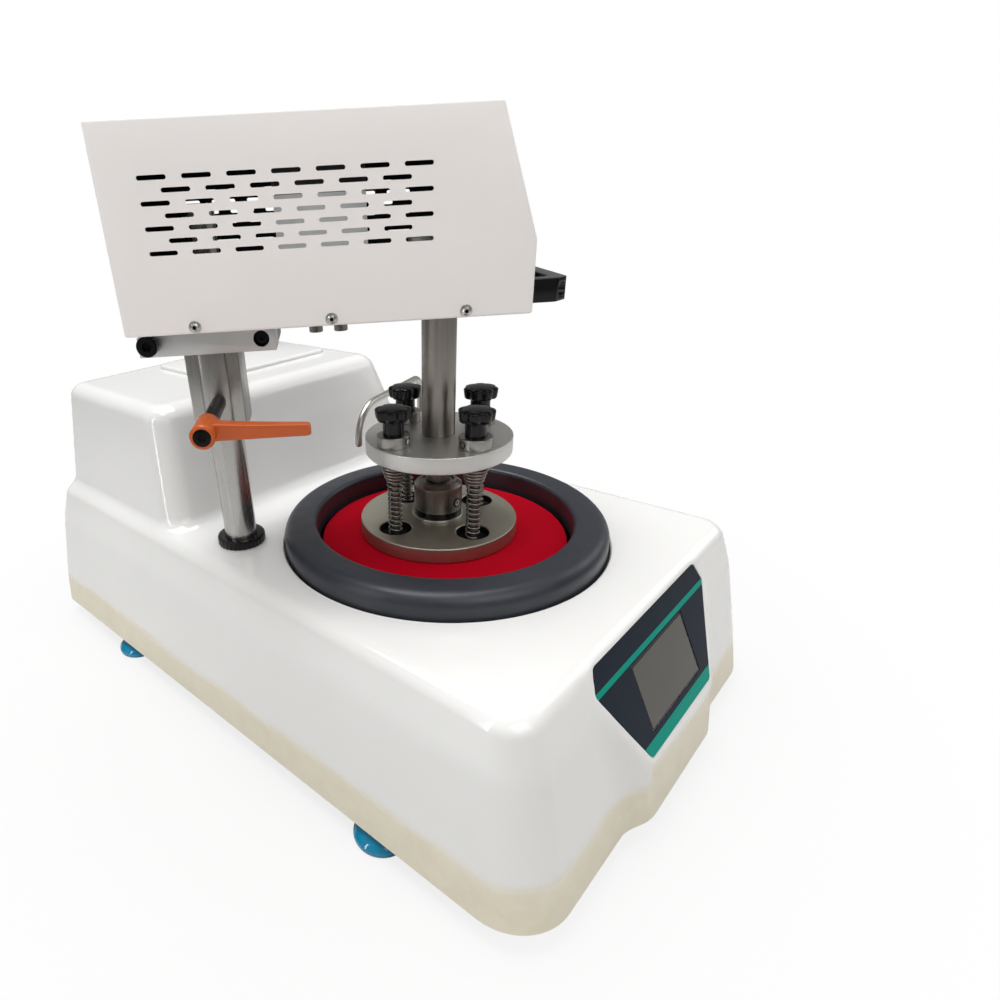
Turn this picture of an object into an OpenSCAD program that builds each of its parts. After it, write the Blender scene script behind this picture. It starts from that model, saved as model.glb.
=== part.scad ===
// Metallographic grinder-polisher with a single platen and a motorised specimen head.
// Units are millimetres. The origin is the centre of the platen's working face,
// +X is the operator's right, +Y runs to the rear and +Z is up.

/* [Housing] */
// Half width of the deck, to where its soft edge ends
deck_half_w = 185; // [183:0.5:187]
// Half width of the housing at the foot of the sloping shoulder
shoulder_half_w = 196; // [194:0.5:198]
// Half width of the housing at its bottom edge
body_half_w = 215; // [213:0.5:218]
// Height of the housing from its bottom edge to the deck
body_h = 145; // [142:1:150]
// Drop of the shoulder's foot below the deck
shoulder_drop = 36; // [32:1:40]
// Reach of the deck in front of the platen axis
deck_front = 201; // [199:0.5:203]
// Reach of the shoulder's foot in front of the platen axis
shoulder_front = 212; // [210:0.5:214]
// Reach of the bottom edge in front of the platen axis
body_front = 238; // [236:0.5:240]
// Reach of the rear wall behind the platen axis
body_rear = 430; // [424:1:436]
// Radius of the deck's upright corners
deck_corner_r = 22; // [18:1:28]
// Radius of the bottom edge's upright corners
body_corner_r = 45; // [40:1:50]
// Radius of the soft edge round the deck
deck_edge_r = 9; // [6:0.5:11]
// Outward bow of the walls above the bottom edge
wall_bow = 2; // [0.5:0.25:3]
// Wall thickness of the moulded housing
shell_t = 4; // [3:0.25:5]

/* [Rear hood] */
// Half width of the hood at the deck
hood_half_w = 172; // [168:0.5:174]
// Height of the hood above the deck
hood_h = 115; // [108:1:122]
// Front foot of the hood behind the platen axis, at the left corner
hood_front_left = 202; // [200:0.5:206]
// Front foot of the hood behind the platen axis, at the right corner
hood_front_right = 184; // [182:0.5:190]
// Lean of the hood's front face at the left corner
hood_lean_left = 36; // [32:1:40]
// Lean of the hood's front face at the right corner
hood_lean_right = 42; // [38:1:46]
// Lean of the hood's side faces
hood_side_lean = 22; // [18:1:26]
// Radius of the hood's upright corners
hood_corner_r = 34; // [30:1:38]
// Radius of the soft edge round the hood's top
hood_edge_r = 18; // [14:1:20]
// Width of the raised service lid
lid_w = 180; // [170:1:190]
// Depth of the raised service lid
lid_d = 118; // [110:1:124]
// Height of the raised service lid
lid_h = 6; // [4:0.5:8]
// Offset of the service lid to the right of the centre line
lid_x = 44; // [38:1:46]

/* [Control panel] */
// Reach of the panel's top edge in front of the platen axis
panel_top_front = 199.3; // [198:0.1:201]
// Drop of the panel's top edge below the deck
panel_top_drop = 6; // [5:0.25:8]
// Tilt of the panel from the horizontal, in degrees
panel_tilt = 63.6; // [61:0.2:66]
// Half width of the overlay at its top edge
panel_top_half = 93; // [91:0.5:95]
// Half width of the overlay at its widest place
panel_wide_half = 100; // [98:0.5:101]
// Distance of the widest place down the slope
panel_wide_drop = 18; // [16:0.5:20]
// Half width of the overlay at its bottom edge
panel_low_half = 59; // [58:0.5:61]
// Length of the overlay down the slope
panel_len = 92; // [90:0.5:93]
// Width of the bare rim round the overlay
panel_rim = 4; // [3:0.25:5]
// Thickness of the overlay
overlay_t = 1; // [0.6:0.1:1.4]
// Width of the display window
screen_w = 95; // [92:0.5:97]
// Height of the display window
screen_h = 53.9; // [52:0.1:55]
// Half width of the chin at its front bottom edge
chin_low_half = 62; // [59:0.5:65]
// Half width of the chin where it meets the front wall
chin_join_half = 87; // [84:0.5:90]
// Reach of the chin's bottom edge in front of the platen axis
chin_front = 248.5; // [246:0.5:251]

/* [Platen and bowl] */
// Diameter of the platen and of its cloth
platen_d = 230; // [226:0.5:234]
// Thickness of the polishing cloth
cloth_t = 1.5; // [1:0.1:2]
// Thickness of the platen disc
platen_t = 12; // [10:0.5:13]
// Width of the splash ring, from its inner wall to its outer wall
ring_w = 32.2; // [31.4:0.1:33]
// Height of the splash ring above the deck
ring_h = 20.3; // [19:0.1:23]
// Gap between the platen and the splash ring
ring_gap = 4.4; // [3.6:0.1:5.4]
// Radius of the splash ring's outer edge
ring_edge_r = 14; // [11:0.5:16]
// Radius of the splash ring's inner edge
ring_lip_r = 4; // [2.5:0.25:5]
// Wall thickness of the hollow splash ring
ring_t = 3; // [2.5:0.25:3.5]
// Gap between the splash ring and the deck's edge
deck_gap = 1.9; // [1.4:0.1:2.6]
// Depth of the catch bowl below the deck
bowl_depth = 50; // [47:0.5:53]
// Wall thickness of the catch bowl
bowl_t = 3; // [2:0.25:3.5]
// Diameter of the platen shaft
shaft_d = 25; // [22:0.5:27]
// Outer diameter of the drive pulley under the bowl
pulley_d = 110; // [100:1:118]
// Outer diameter of the motor pulley
motor_pulley_d = 44; // [38:1:48]
// Distance of the motor axis behind the platen axis
motor_y = 288; // [284:1:292]

/* [Column and head] */
// Position of the column axis, to the left of the platen axis
column_left = 135.5; // [133:0.5:138]
// Position of the column axis, behind the platen axis
column_back = 138.5; // [136:0.5:141]
// Diameter of the column tube
column_d = 30; // [28:0.25:31]
// Height of the column's top above the deck
column_top = 292; // [286:1:298]
// Position of the spindle axis, to the right of the platen axis
spindle_right = 4.4; // [3:0.1:6]
// Position of the spindle axis, behind the platen axis
spindle_back = 8.9; // [7:0.1:10]
// Height of the casing's lower edge above the deck
head_z = 206; // [204:0.5:209]
// Height of the head casing
head_h = 137; // [132:0.5:142]
// Width of the head casing
head_w = 130; // [126:0.5:134]
// Reach of the casing behind the column axis
head_back = 53.5; // [51:0.5:56]
// Reach of the casing in front of the column axis
head_front = 250; // [247:0.5:253]
// Height of the upright part of the casing's front
head_brow = 51; // [46:0.5:56]
// Set-back of the casing's top front edge
head_slope = 28; // [24:0.5:32]
// Thickness of the casing's sheet
head_t = 1.5; // [1.2:0.1:2]
// Length of a ventilation slot
slot_len = 20; // [18:0.25:21]
// Width of a ventilation slot
slot_w = 3; // [2.6:0.1:3.6]
// Pitch of the slots along a row
slot_pitch = 30; // [29:0.25:30.5]
// Pitch of the rows of slots
slot_row = 7.8; // [7.2:0.1:8]
// Stroke of the head along the column
lift_stroke = 60; // [50:1:62]

/* [Column clamp] */
// Side of the square clamp sleeve
sleeve_w = 44; // [43:0.25:46]
// Height of the clamp sleeve's lower edge above the deck
sleeve_z = 118; // [114:0.5:122]
// Length of the clamp bars
bar_len = 107; // [104:0.5:110]
// Height of the clamp bars
bar_h = 20; // [18:0.25:22]
// Depth of the front clamp bar
bar_d = 31; // [29:0.5:32]
// Depth of the rear clamp bar
back_bar_d = 49; // [46:0.5:52]
// Height of the clamp lever's axis above the deck
lever_z = 144; // [140:0.5:150]
// Length of the clamp lever's arm from its axis
lever_len = 77; // [70:0.5:84]
// Diameter of the clamp lever's hub
hub_d = 18.5; // [17:0.25:20]
// Length of the clamp lever's hub
hub_len = 32; // [29:0.5:34]
// Distance of the hub's outer face from the column axis
hub_reach = 120; // [117:0.5:123]

/* [Specimen head] */
// Diameter of the specimen holder disc
holder_d = 148.4; // [146:0.2:151]
// Thickness of the specimen holder disc
holder_t = 14; // [12.5:0.1:15.5]
// Gap between the holder disc and the cloth
holder_gap = 0.4; // [0.3:0.05:0.8]
// Diameter of the specimen holes
hole_d = 30; // [29:0.1:31]
// Radius of the circle of specimen holes
hole_pitch_r = 50; // [49:0.1:51]
// Diameter of the upper disc
disc_d = 133.8; // [131:0.2:136]
// Height of the upper disc's underside above the deck
disc_z = 80.6; // [78:0.2:83]
// Thickness of the upper disc
disc_t = 14.9; // [13:0.1:16]
// Diameter of the spindle tube
spindle_d = 30; // [28.5:0.25:31]
// Diameter of the plunger rods
rod_d = 8; // [7:0.1:8.2]
// Diameter of a plunger's steel collar
collar_d = 29; // [27.5:0.25:30]
// Height of a plunger's steel collar
collar_h = 10; // [8.5:0.25:11]
// Diameter over the lobes of a plunger's knob
knob_d = 34; // [32:0.25:35.5]
// Height of a plunger's knob
knob_h = 24.5; // [22:0.25:27]
// Stroke of a plunger
plunger_stroke = 12; // [10:0.25:13]
// Wire diameter of the plunger springs
wire_d = 1.9; // [1.6:0.05:2]
// Mean diameter of the plunger springs along the rod
coil_d = 11.6; // [11.4:0.05:11.9]
// Mean diameter of the plunger springs' wide top turn
coil_top_d = 19; // [17.5:0.1:19.5]
// Number of turns of a spring along the rod
coil_turns = 12; // [10:1:12]

/* [Water spout] */
// Position of the spout's riser, to the right of the platen axis
spout_right = 150; // [148.5:0.25:151]
// Position of the spout's riser, behind the platen axis
spout_back = 148; // [147:0.25:149]
// Outer diameter of the spout tube
spout_d = 7.6; // [7:0.1:8]
// Height of the spout's long run above the deck
spout_z = 98; // [95:0.5:101]
// Length of the spout's reach from its riser to its tip
spout_reach = 144.6; // [141:0.2:148]
// Bend radius above the riser
spout_bend_r = 16; // [14:0.5:18]
// Bend radius at the spout's nose
spout_nose_r = 35; // [33:0.5:37]
// Height of the spout's tip above the deck
spout_tip_z = 59; // [54:0.5:61]

/* [Feet and connections] */
// Height of the feet under the housing
foot_h = 18; // [16:0.5:21]
// Diameter of the feet
foot_d = 47.2; // [45:0.2:49]
// Distance of a foot's centre in from the housing's bottom edge, at either side
foot_inset = 18; // [17:0.25:20]
// Distance of the front feet in front of the platen axis
foot_front = 93; // [88:1:98]
// Distance of the rear feet behind the platen axis
foot_back = 285; // [275:1:295]
// Outer diameter of the drain spigot
drain_d = 32; // [30:0.25:34]
// Length of the drain spigot behind the rear wall
drain_len = 32; // [28:0.5:36]
// Outer diameter of the water inlet nozzle
inlet_d = 26.4; // [25:0.2:27]
// Length of the water inlet nozzle behind the rear wall
inlet_len = 24; // [20:0.5:28]
// Width of the power inlet module's flange
power_w = 30; // [29:0.25:32]
// Height of the power inlet module's flange
power_h = 58; // [57:0.5:62]

/* [Hidden] */
$fn = 64;
hull_fn = 32;
// Overrun of every cut past its face
cut = 1;
// Thickness of the slices that the hulls join
slice_t = 0.2;
// Running clearance, in radius, of turning and sliding fits
fit = 0.05;
// Clearance between pieces that stand close and do not touch
gap = 0.3;

// Shares of a soft edge's radius, from the top face outward, at its slices
edge_steps = [90, 60, 30, 0];

// Platen values
platen_r = platen_d / 2;
ring_in_r = platen_r + ring_gap;
ring_r = ring_in_r + ring_w;
deck_hole_r = ring_r + deck_gap;
bowl_flange_r = deck_hole_r + 8 * bowl_t / 3;
bowl_r = ring_r - 2 * ring_t;
chimney_r = shaft_d / 2 + 3 * bowl_t;
chimney_drop = 7;
chimney_top = platen_t + cloth_t + chimney_drop;
hub_r = shaft_d / 2 + 4;
skirt_r = chimney_r + 2 * bowl_t;
skirt_drop = 35;
boss_drop = 30;
shaft_top = platen_t + cloth_t + 4;
pulley_drop = 57;
pulley_w = 18;
pulley_flange = 2;
pulley_lip = 3;
belt_t = 3;
belt_gap = 0.3;
housing_top = pulley_drop + pulley_w + 3;
housing_r = 32;
housing_flange_r = 62;
housing_flange_t = 8;
gusset_t = 6;
gusset_h = 40;
base_t = 3;
base_gap = 0.8;
vent_len = 60;
vent_w = 6;
vent_pitch = 14;
vent_n = 5;
vent_y = 150;
outlet_r = 12;
outlet_len = 18;
outlet_at = 128;
outlet_angle = 60;

// Motor values
motor_r = 50;
motor_h = 112;
motor_plate_w = 120;
motor_plate_d = 110;
motor_plate_t = 4;
motor_post_r = 6;
motor_post_in = 10;
motor_shaft_r = 7;
motor_rib_r = 44;
motor_ribs = 3;
motor_rib_h = 5;
motor_low = pulley_drop - 3;

// Head values: s runs from the column to the spindle, w across towards the lever
column_x = -column_left;
column_y = column_back;
column_r = column_d / 2;
column_wall = 3;
column_foot_r = 32;
column_foot_t = 8;
spindle_x = spindle_right;
spindle_y = spindle_back;
head_reach = norm([spindle_x - column_x, spindle_y - column_y]);
head_angle = atan2(spindle_y - column_y, spindle_x - column_x);
head_half = head_w / 2;
nut_r = 23;
nut_h = 8;
nut_teeth = 24;
nut_tooth_r = 1.4;
bush_t = 3.5;
bush_r = column_r + fit + bush_t;
bush_rim_r = bush_r + 1.5;
bush_rim_h = 4;
bar_z = head_z - bar_h + gap / 3;
bar_back = 52;
bar_axis_gap = 9;
bar_front_w = bar_axis_gap + bar_d;
bar_split = bar_front_w - bar_d;
bar_chamfer = 5;
bar_corner_r = 6;
bar_bolt_s = -43.5;
bar_screw_s = 44;
bolt_head_r = 8;
bolt_head_h = 8;
bolt_z_share = 0.475;
sink_r = 6.25;
sink_d = 6;
sink_core_r = 4.5;
sink_core_h = 3;
nose_w = 16;
nose_out = 2.5;
sleeve_corner_r = 2;
sleeve_slit = 2;
stud_r = 6;
stud_out = hub_reach - hub_len;
lever_s = 2;
lever_root_h = 13;
lever_tip_h = 8.5;
lever_root_t = 12;
lever_tip_t = 8;
lever_drop = 1.5;
lever_screw_r = 6.5;
lever_screw_sink = 2;
chassis_t = 2;
chassis_lip = 18;
chassis_gap = 0.3;
motor_s = 97;
gear_w = 84;
gear_d = 84;
gear_h = 34;
can_r = 36;
can_h = 74;
fitting_s = [87, 107];
fitting_w = 22;
fitting_r = 5.5;
fitting_h = 11;
fitting_neck_r = 4;
fitting_neck_h = 3;
slot_rows = 7;
slot_s = -14.7;
slot_top_share = 0.7485;
slot_n = 7;
cover_screws = [-1, 99.5, 199.5];
cover_screw_r = 1.7;
cover_screw_up = 5;
handle_half = 55;
handle_leg = 14;
handle_out = 31;
handle_bar = 12;
handle_h = 17;
handle_up = 6;
handle_corner = 11;
handle_bolt_r = 2.8;
handle_sink_r = 5;
handle_sink_d = 5;

// Specimen head values
hole_phase = atan2(-13.4, 56.25);
hole_angles = [hole_phase + 180, hole_phase + 270, hole_phase, hole_phase + 90];
holder_r = holder_d / 2;
holder_top = holder_gap + holder_t;
holder_edge = 1.2;
holder_bolt_r = 4;
holder_bolt_at = 34;
disc_top = disc_z + disc_t;
disc_edge = 1;
spindle_r = spindle_d / 2;
spindle_wall = 4;
coupling_hub_r = 20;
coupling_flange_r = 25;
coupling_flange_t = 3;
coupling_groove_r = 21.5;
coupling_groove_t = 4;
coupling_body_r = 23;
coupling_body_h = 24;
coupling_chamfer = 4;
coupling_neck_r = 14;
coupling_lift = 2.6;
coupling_screw_r = 3.5;
coupling_screw_sink = 3;
coupling_z = holder_top + coupling_lift;
rod_r = rod_d / 2;
rod_foot_r = 6.9;
rod_foot_h = 3.6;
rod_nose_r = 3;
rod_low = 5.4;
rod_up_share = 0.72;
collar_r = collar_d / 2;
collar_screw_r = 2.6;
collar_screw_sink = 3.5;
knob_stem_r = 9.25;
knob_stem_share = 0.53;
knob_head_share = 0.33;
knob_lobes = 6;
knob_lobe_r = 5;
knob_z = disc_top + collar_h + gap;

// Spring values
wire_r = wire_d / 2;
spring_low = rod_low + rod_foot_h;
coil_rings = 8;
coil_cone_turns = 1.5;
coil_cone_h = 7;
coil_end = wire_d;

// Spout values
spout_r = spout_d / 2;
spout_wall = 1.1;
spout_bore_r = spout_r - spout_wall;
spout_angle = -167.2;
spout_collar_r = 7;
spout_collar_h = 6;
spout_tail = 26;
spout_nut_r = 12;
spout_nut_h = 9;
spout_bush_h = 12;

// Foot and rear connection values
foot_r = foot_d / 2;
foot_neck_r = 9;
foot_stud_r = 4;
foot_nut_r = 7.5;
foot_nut_h = 6;
foot_x = body_half_w - foot_inset;
foot_points = [[-foot_x, -foot_front], [foot_x, -foot_front], [foot_x, foot_back], [-foot_x, foot_back]];
foot_rise_shares = [[1, 0.12], [1, 0.3], [0.93, 0.45], [0.78, 0.58], [0.58, 0.68]];
drain_x = 120;
drain_z = -112;
drain_t = 2.5;
drain_flange_r = 24;
drain_flange_t = 4;
drain_in = 22;
drain_chamfer = 0.7;
inlet_x = 60;
inlet_z = -60;
inlet_bore_r = 6.5;
inlet_flange_r = 19;
inlet_flange_t = 5;
inlet_in = 16;
inlet_step = 1.4;
power_x = -110;
power_z = -75;
power_flange_t = 3;
power_in = 34;
power_body_w = 27;
power_body_h = 48;
power_corner_r = 3;
socket_w = 24;
socket_h = 16;
socket_d = 17;
socket_drop = 11;
pin_w = 2;
pin_h = 4;
pin_len = 10;
pin_pitch = 7;
pin_rise = 4;
switch_w = 19;
switch_h = 13;
switch_rise = 15;
switch_d = 14;
rocker_gap = 0.4;
rocker_out = 3;
rocker_in = 4;
rocker_draft = 1;
rocker_pin_r = 1.5;
rocker_pin_in = 2;
rocker_pin_len = 1.2;
screen_t = 5;
screen_sink = 0.4;
screen_gap = 0.2;
screen_back_rim = 5;
screen_back_t = 2;
lid_corner_r = 12;
lid_edge = 3;
lid_y = body_rear - hood_edge_r - lid_d / 2 - 4;

// Point on a circle
function polar(r, a) = [r * cos(a), r * sin(a)];

// Rectangle between two corners with round corners, as a flat outline
module round_rect(x0, y0, x1, y1, r) {
  translate([x0 + r, y0]) square([x1 - x0 - 2 * r, y1 - y0]);
  translate([x0, y0 + r]) square([x1 - x0, y1 - y0 - 2 * r]);
  for (x = [x0 + r, x1 - r], y = [y0 + r, y1 - r]) translate([x, y]) circle(r = r);
}

// One horizontal slice of the housing: left, right, front-left, front-right, rear and corner radius
module slice(z, hx, yl, yr, y1, r, rr) {
  translate([0, 0, z - slice_t]) {
    translate([-hx + r, yl + r, 0]) cylinder(r = r, h = slice_t, $fn = hull_fn);
    translate([hx - r, yr + r, 0]) cylinder(r = r, h = slice_t, $fn = hull_fn);
    for (x = [-hx + rr, hx - rr]) translate([x, y1 - rr, 0]) cylinder(r = rr, h = slice_t, $fn = hull_fn);
  }
}

// Moulded main body, with its soft deck edge, sloping shoulder and flared walls
module body_solid(in = 0) {
  low = in > 0 ? cut : 0;
  bow_z = body_h * 0.8;
  bow_share = (bow_z - shoulder_drop) / (body_h - shoulder_drop);
  hull() {
    for (a = edge_steps) {
      s = deck_edge_r * (1 - cos(a));
      z = -deck_edge_r * (1 - sin(a));
      slice(z - in, deck_half_w - s - in, -deck_front + s + in, -deck_front + s + in,
        body_rear - in, deck_corner_r - in, deck_corner_r / 2);
    }
    slice(-shoulder_drop, shoulder_half_w - in, -shoulder_front + in, -shoulder_front + in,
      body_rear - in, (deck_corner_r + body_corner_r) / 2 - in, deck_corner_r / 2);
    slice(-bow_z, shoulder_half_w + (body_half_w - shoulder_half_w) * bow_share + wall_bow - in,
      -shoulder_front - (body_front - shoulder_front) * bow_share - wall_bow + in,
      -shoulder_front - (body_front - shoulder_front) * bow_share - wall_bow + in,
      body_rear - in, body_corner_r - in, deck_corner_r / 2);
    slice(-body_h - low + slice_t, body_half_w - in, -body_front + in, -body_front + in,
      body_rear - in, body_corner_r - in, deck_corner_r / 2);
  }
}

// Rear hood, leaning in on its front and sides, with a soft top edge
module hood_solid(in = 0) {
  hull() {
    slice(-shell_t - in, hood_half_w - in, hood_front_left + in, hood_front_right + in,
      body_rear - in, hood_corner_r - in, deck_corner_r / 2);
    for (a = edge_steps) {
      s = hood_edge_r * (1 - cos(a));
      z = hood_h - hood_edge_r * (1 - sin(a));
      k = z / hood_h;
      slice(z - in, hood_half_w - hood_side_lean * k - s - in, hood_front_left + hood_lean_left * k + s + in,
        hood_front_right + hood_lean_right * k + s + in, body_rear - s / 2 - in,
        hood_corner_r - in, deck_corner_r / 2);
    }
  }
}

// Frame of the sloping panel: x to the right, y up the slope, z out of the face
module panel_frame() {
  translate([0, -panel_top_front, -panel_top_drop]) rotate([panel_tilt, 0, 0]) children();
}

// Six-cornered outline of the panel, grown by a rim
module panel_outline(rim = 0) {
  polygon([
    [-panel_top_half - rim, rim], [panel_top_half + rim, rim],
    [panel_wide_half + rim, -panel_wide_drop], [panel_low_half + rim, -panel_len - rim],
    [-panel_low_half - rim, -panel_len - rim], [-panel_wide_half - rim, -panel_wide_drop]]);
}

// Chin that carries the panel and runs down to the bottom edge
module chin_solid(in = 0) {
  low = in > 0 ? cut : 0;
  hull() {
    panel_frame() translate([0, 0, -slice_t - in]) linear_extrude(slice_t) panel_outline(panel_rim - in);
    translate([0, 0, -body_h - low]) linear_extrude(slice_t) polygon([
      [-chin_low_half + in, -chin_front + in], [chin_low_half - in, -chin_front + in],
      [chin_join_half - in, -body_front + in], [chin_join_half - in, -deck_front + in],
      [-chin_join_half + in, -deck_front + in], [-chin_join_half + in, -body_front + in]]);
  }
}

// Moulded housing with the deck opening, the panel recess and the rear cut-outs
module shell() color("white") difference() {
  union() {
    body_solid();
    hood_solid();
    chin_solid();
  }
  body_solid(shell_t);
  hood_solid(shell_t);
  chin_solid(shell_t);
  translate([0, 0, -shell_t - cut]) cylinder(r = deck_hole_r, h = shell_t + 2 * cut);
  panel_frame() {
    translate([0, 0, -overlay_t]) linear_extrude(overlay_t + cut) panel_outline(screen_gap);
    translate([-screen_w / 2 - screen_gap, -screen_low - screen_h - screen_gap, -2 * shell_t])
      cube([screen_w + 2 * screen_gap, screen_h + 2 * screen_gap, 3 * shell_t]);
  }
  translate([column_x, column_y, -shell_t - cut]) cylinder(r = column_r + gap, h = shell_t + 2 * cut);
  translate([spout_right, spout_back, -shell_t - cut])
    cylinder(r = spout_collar_r + gap, h = shell_t + 2 * cut);
  rear_cut(drain_x, drain_z) cylinder(r = drain_d / 2 + gap, h = shell_t + 2 * cut);
  rear_cut(inlet_x, inlet_z) cylinder(r = inlet_d / 2 + gap, h = shell_t + 2 * cut);
  translate([power_x - power_body_w / 2 - gap, body_rear - shell_t - cut, power_z - power_body_h / 2 - gap])
    cube([power_body_w + 2 * gap, shell_t + 2 * cut, power_body_h + 2 * gap]);
}
// Distance of the display window's top edge down the slope
screen_low = (panel_len + panel_wide_drop - screen_h) / 2 - 3;

// Place on the rear wall, with z pointing to the rear
module rear_cut(x, z) {
  translate([x, body_rear - shell_t - cut, z]) rotate([-90, 0, 0]) children();
}

// Sheet-steel base plate that closes the housing from below
module base_plate() color("silver") {
  in = shell_t + base_gap;
  hx = body_half_w - in;
  translate([0, 0, -body_h]) difference() {
    linear_extrude(base_t) {
      round_rect(-hx, -body_front + in, hx, 0, body_corner_r - in);
      round_rect(-hx, -body_corner_r, hx, body_rear - in, deck_corner_r / 2);
      polygon([
        [-chin_low_half + in, -chin_front + in], [chin_low_half - in, -chin_front + in],
        [chin_join_half - in, -body_front + in], [-chin_join_half + in, -body_front + in]]);
    }
    for (p = foot_points) translate([p[0], p[1], -cut]) cylinder(r = foot_stud_r + gap, h = base_t + 2 * cut);
    for (i = [0 : vent_n - 1], x = [-1, 1]) translate([x * vent_len, vent_y + i * vent_pitch, -cut])
      linear_extrude(base_t + 2 * cut) round_rect(-vent_len / 3, 0, vent_len / 3, vent_w, vent_w / 2 - cut / 4);
  }
}

// Domed levelling foot with its stud and nut
module foot(k) color("deepskyblue") {
  p = foot_points[k];
  translate([p[0], p[1], -body_h - foot_h]) {
    rotate_extrude() polygon(concat([[0, 0], [foot_r * 0.94, 0]],
      [for (q = foot_rise_shares) [foot_r * q[0], foot_h * q[1]]],
      [[foot_neck_r, foot_h * 0.74], [foot_neck_r, foot_h], [0, foot_h]]));
    cylinder(r = foot_stud_r, h = foot_h + base_t + foot_nut_h + foot_stud_r);
    translate([0, 0, foot_h + base_t]) cylinder(r = foot_nut_r, h = foot_nut_h, $fn = 6);
  }
}

// Catch bowl under the platen, with a chimney round the shaft and an outlet
module bowl() color("gainsboro") {
  o = polar(outlet_at, outlet_angle);
  difference() {
    union() {
      rotate_extrude($fn = 128) polygon([
        [chimney_r, -bowl_depth], [bowl_r, -bowl_depth], [bowl_r, -shell_t - bowl_t],
        [bowl_flange_r, -shell_t - bowl_t], [bowl_flange_r, -shell_t],
        [bowl_r - bowl_t, -shell_t], [bowl_r - bowl_t, -bowl_depth + bowl_t],
        [chimney_r + bowl_t, -bowl_depth + bowl_t], [chimney_r + bowl_t, -chimney_top],
        [chimney_r, -chimney_top]]);
      translate([o[0], o[1], -bowl_depth - outlet_len]) cylinder(r = outlet_r, h = outlet_len);
    }
    translate([o[0], o[1], -bowl_depth - outlet_len - cut])
      cylinder(r = outlet_r - bowl_t, h = outlet_len + bowl_t + 2 * cut);
  }
}

// Outline of the splash ring's section, drawn in by a wall
module ring_section(in = 0) {
  ro = ring_edge_r - in;
  ri = max(ring_lip_r - in, ring_lip_r / 8);
  x0 = ring_in_r + in;
  x1 = ring_r - in;
  y0 = -shell_t - (in > 0 ? cut : 0);
  y1 = ring_h - in;
  polygon(concat([[x0, y0], [x1, y0]],
    [for (a = [0 : 15 : 90]) [x1 - ro + ro * cos(a), y1 - ro + ro * sin(a)]],
    [for (a = [90 : 30 : 180]) [x0 + ri + ri * cos(a), y1 - ri + ri * sin(a)]]));
}

// Hollow moulded splash ring that stands on the bowl's flange
module splash_ring() color("slategray") rotate_extrude($fn = 128) difference() {
  ring_section();
  ring_section(ring_t);
}

// Platen with its hub and the skirt that hangs over the bowl's chimney
module platen_disc() color("silver") {
  top = -cloth_t;
  low = top - platen_t;
  rotate_extrude($fn = 128) polygon([
    [0, top], [platen_r, top], [platen_r, low], [skirt_r + bowl_t, low], [skirt_r + bowl_t, -skirt_drop],
    [skirt_r, -skirt_drop], [skirt_r, low], [hub_r, low], [hub_r, -boss_drop],
    [shaft_d / 2, -boss_drop], [shaft_d / 2, -shaft_top], [0, -shaft_top]]);
}

// Round polishing cloth on the platen
module cloth() color("crimson") translate([0, 0, -cloth_t]) cylinder(r = platen_r, h = cloth_t, $fn = 128);

// Upright shaft of the platen
module platen_shaft() color("silver") {
  low = body_h - base_t - housing_flange_t;
  translate([0, 0, -low]) cylinder(r = shaft_d / 2, h = low - shaft_top);
}

// Flanged bearing housing on the base plate, with four gussets
module bearing_housing() color("gray") {
  z0 = -body_h + base_t;
  difference() {
    union() {
      translate([0, 0, z0]) cylinder(r = housing_flange_r, h = housing_flange_t);
      translate([0, 0, z0]) cylinder(r = housing_r, h = -z0 - housing_top);
      for (a = [45 : 90 : 315]) rotate([0, 0, a]) translate([0, gusset_t / 2, z0 + housing_flange_t])
        rotate([90, 0, 0]) linear_extrude(gusset_t)
          polygon([[housing_r - gusset_t, 0], [housing_flange_r - gusset_t, 0],
            [housing_r - gusset_t / 4, gusset_h], [housing_r - gusset_t, gusset_h]]);
    }
    translate([0, 0, z0 + housing_flange_t]) cylinder(r = shaft_d / 2 + fit, h = body_h);
  }
}

// Section of a grooved pulley
module pulley_section(r, bore) {
  polygon([[bore, 0], [r, 0], [r, pulley_flange], [r - pulley_lip, pulley_flange + pulley_lip / 2],
    [r - pulley_lip, pulley_w - pulley_flange - pulley_lip / 2], [r, pulley_w - pulley_flange],
    [r, pulley_w], [bore, pulley_w]]);
}

// Large pulley on the platen shaft, with lightening holes
module drive_pulley() color("silver") translate([0, 0, -pulley_drop - pulley_w]) difference() {
  rotate_extrude() pulley_section(pulley_d / 2, shaft_d / 2);
  for (a = [0 : 60 : 300]) rotate([0, 0, a]) translate([(pulley_d + shaft_d) / 4, 0, -cut])
    cylinder(r = pulley_d / 14, h = pulley_w + 2 * cut);
}

// Small pulley with the motor's shaft
module motor_pulley() color("silver") translate([0, motor_y, -pulley_drop - pulley_w]) {
  rotate_extrude() pulley_section(motor_pulley_d / 2, 0);
  cylinder(r = motor_shaft_r, h = pulley_w + 3 + motor_plate_t + motor_rib_h);
}

// Flat outline of the belt's path, grown from the pulleys' grooves
module belt_outline(grow) {
  r1 = pulley_d / 2 - pulley_lip + grow;
  r2 = motor_pulley_d / 2 - pulley_lip + grow;
  a = acos((r1 - r2) / motor_y);
  p = [r1 * sin(a), r1 * cos(a)];
  q = [r2 * sin(a), motor_y + r2 * cos(a)];
  circle(r = r1, $fn = 96);
  translate([0, motor_y]) circle(r = r2);
  polygon([[p[0], p[1]], [q[0], q[1]], [-q[0], q[1]], [-p[0], p[1]]]);
}

// Drive belt between the two pulleys
module drive_belt() color("black") {
  h = pulley_w - 2 * pulley_flange - pulley_lip - 2 * belt_gap;
  translate([0, 0, -pulley_drop - pulley_w / 2 - h / 2]) linear_extrude(h) difference() {
    belt_outline(belt_gap + belt_t);
    belt_outline(belt_gap);
  }
}

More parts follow.
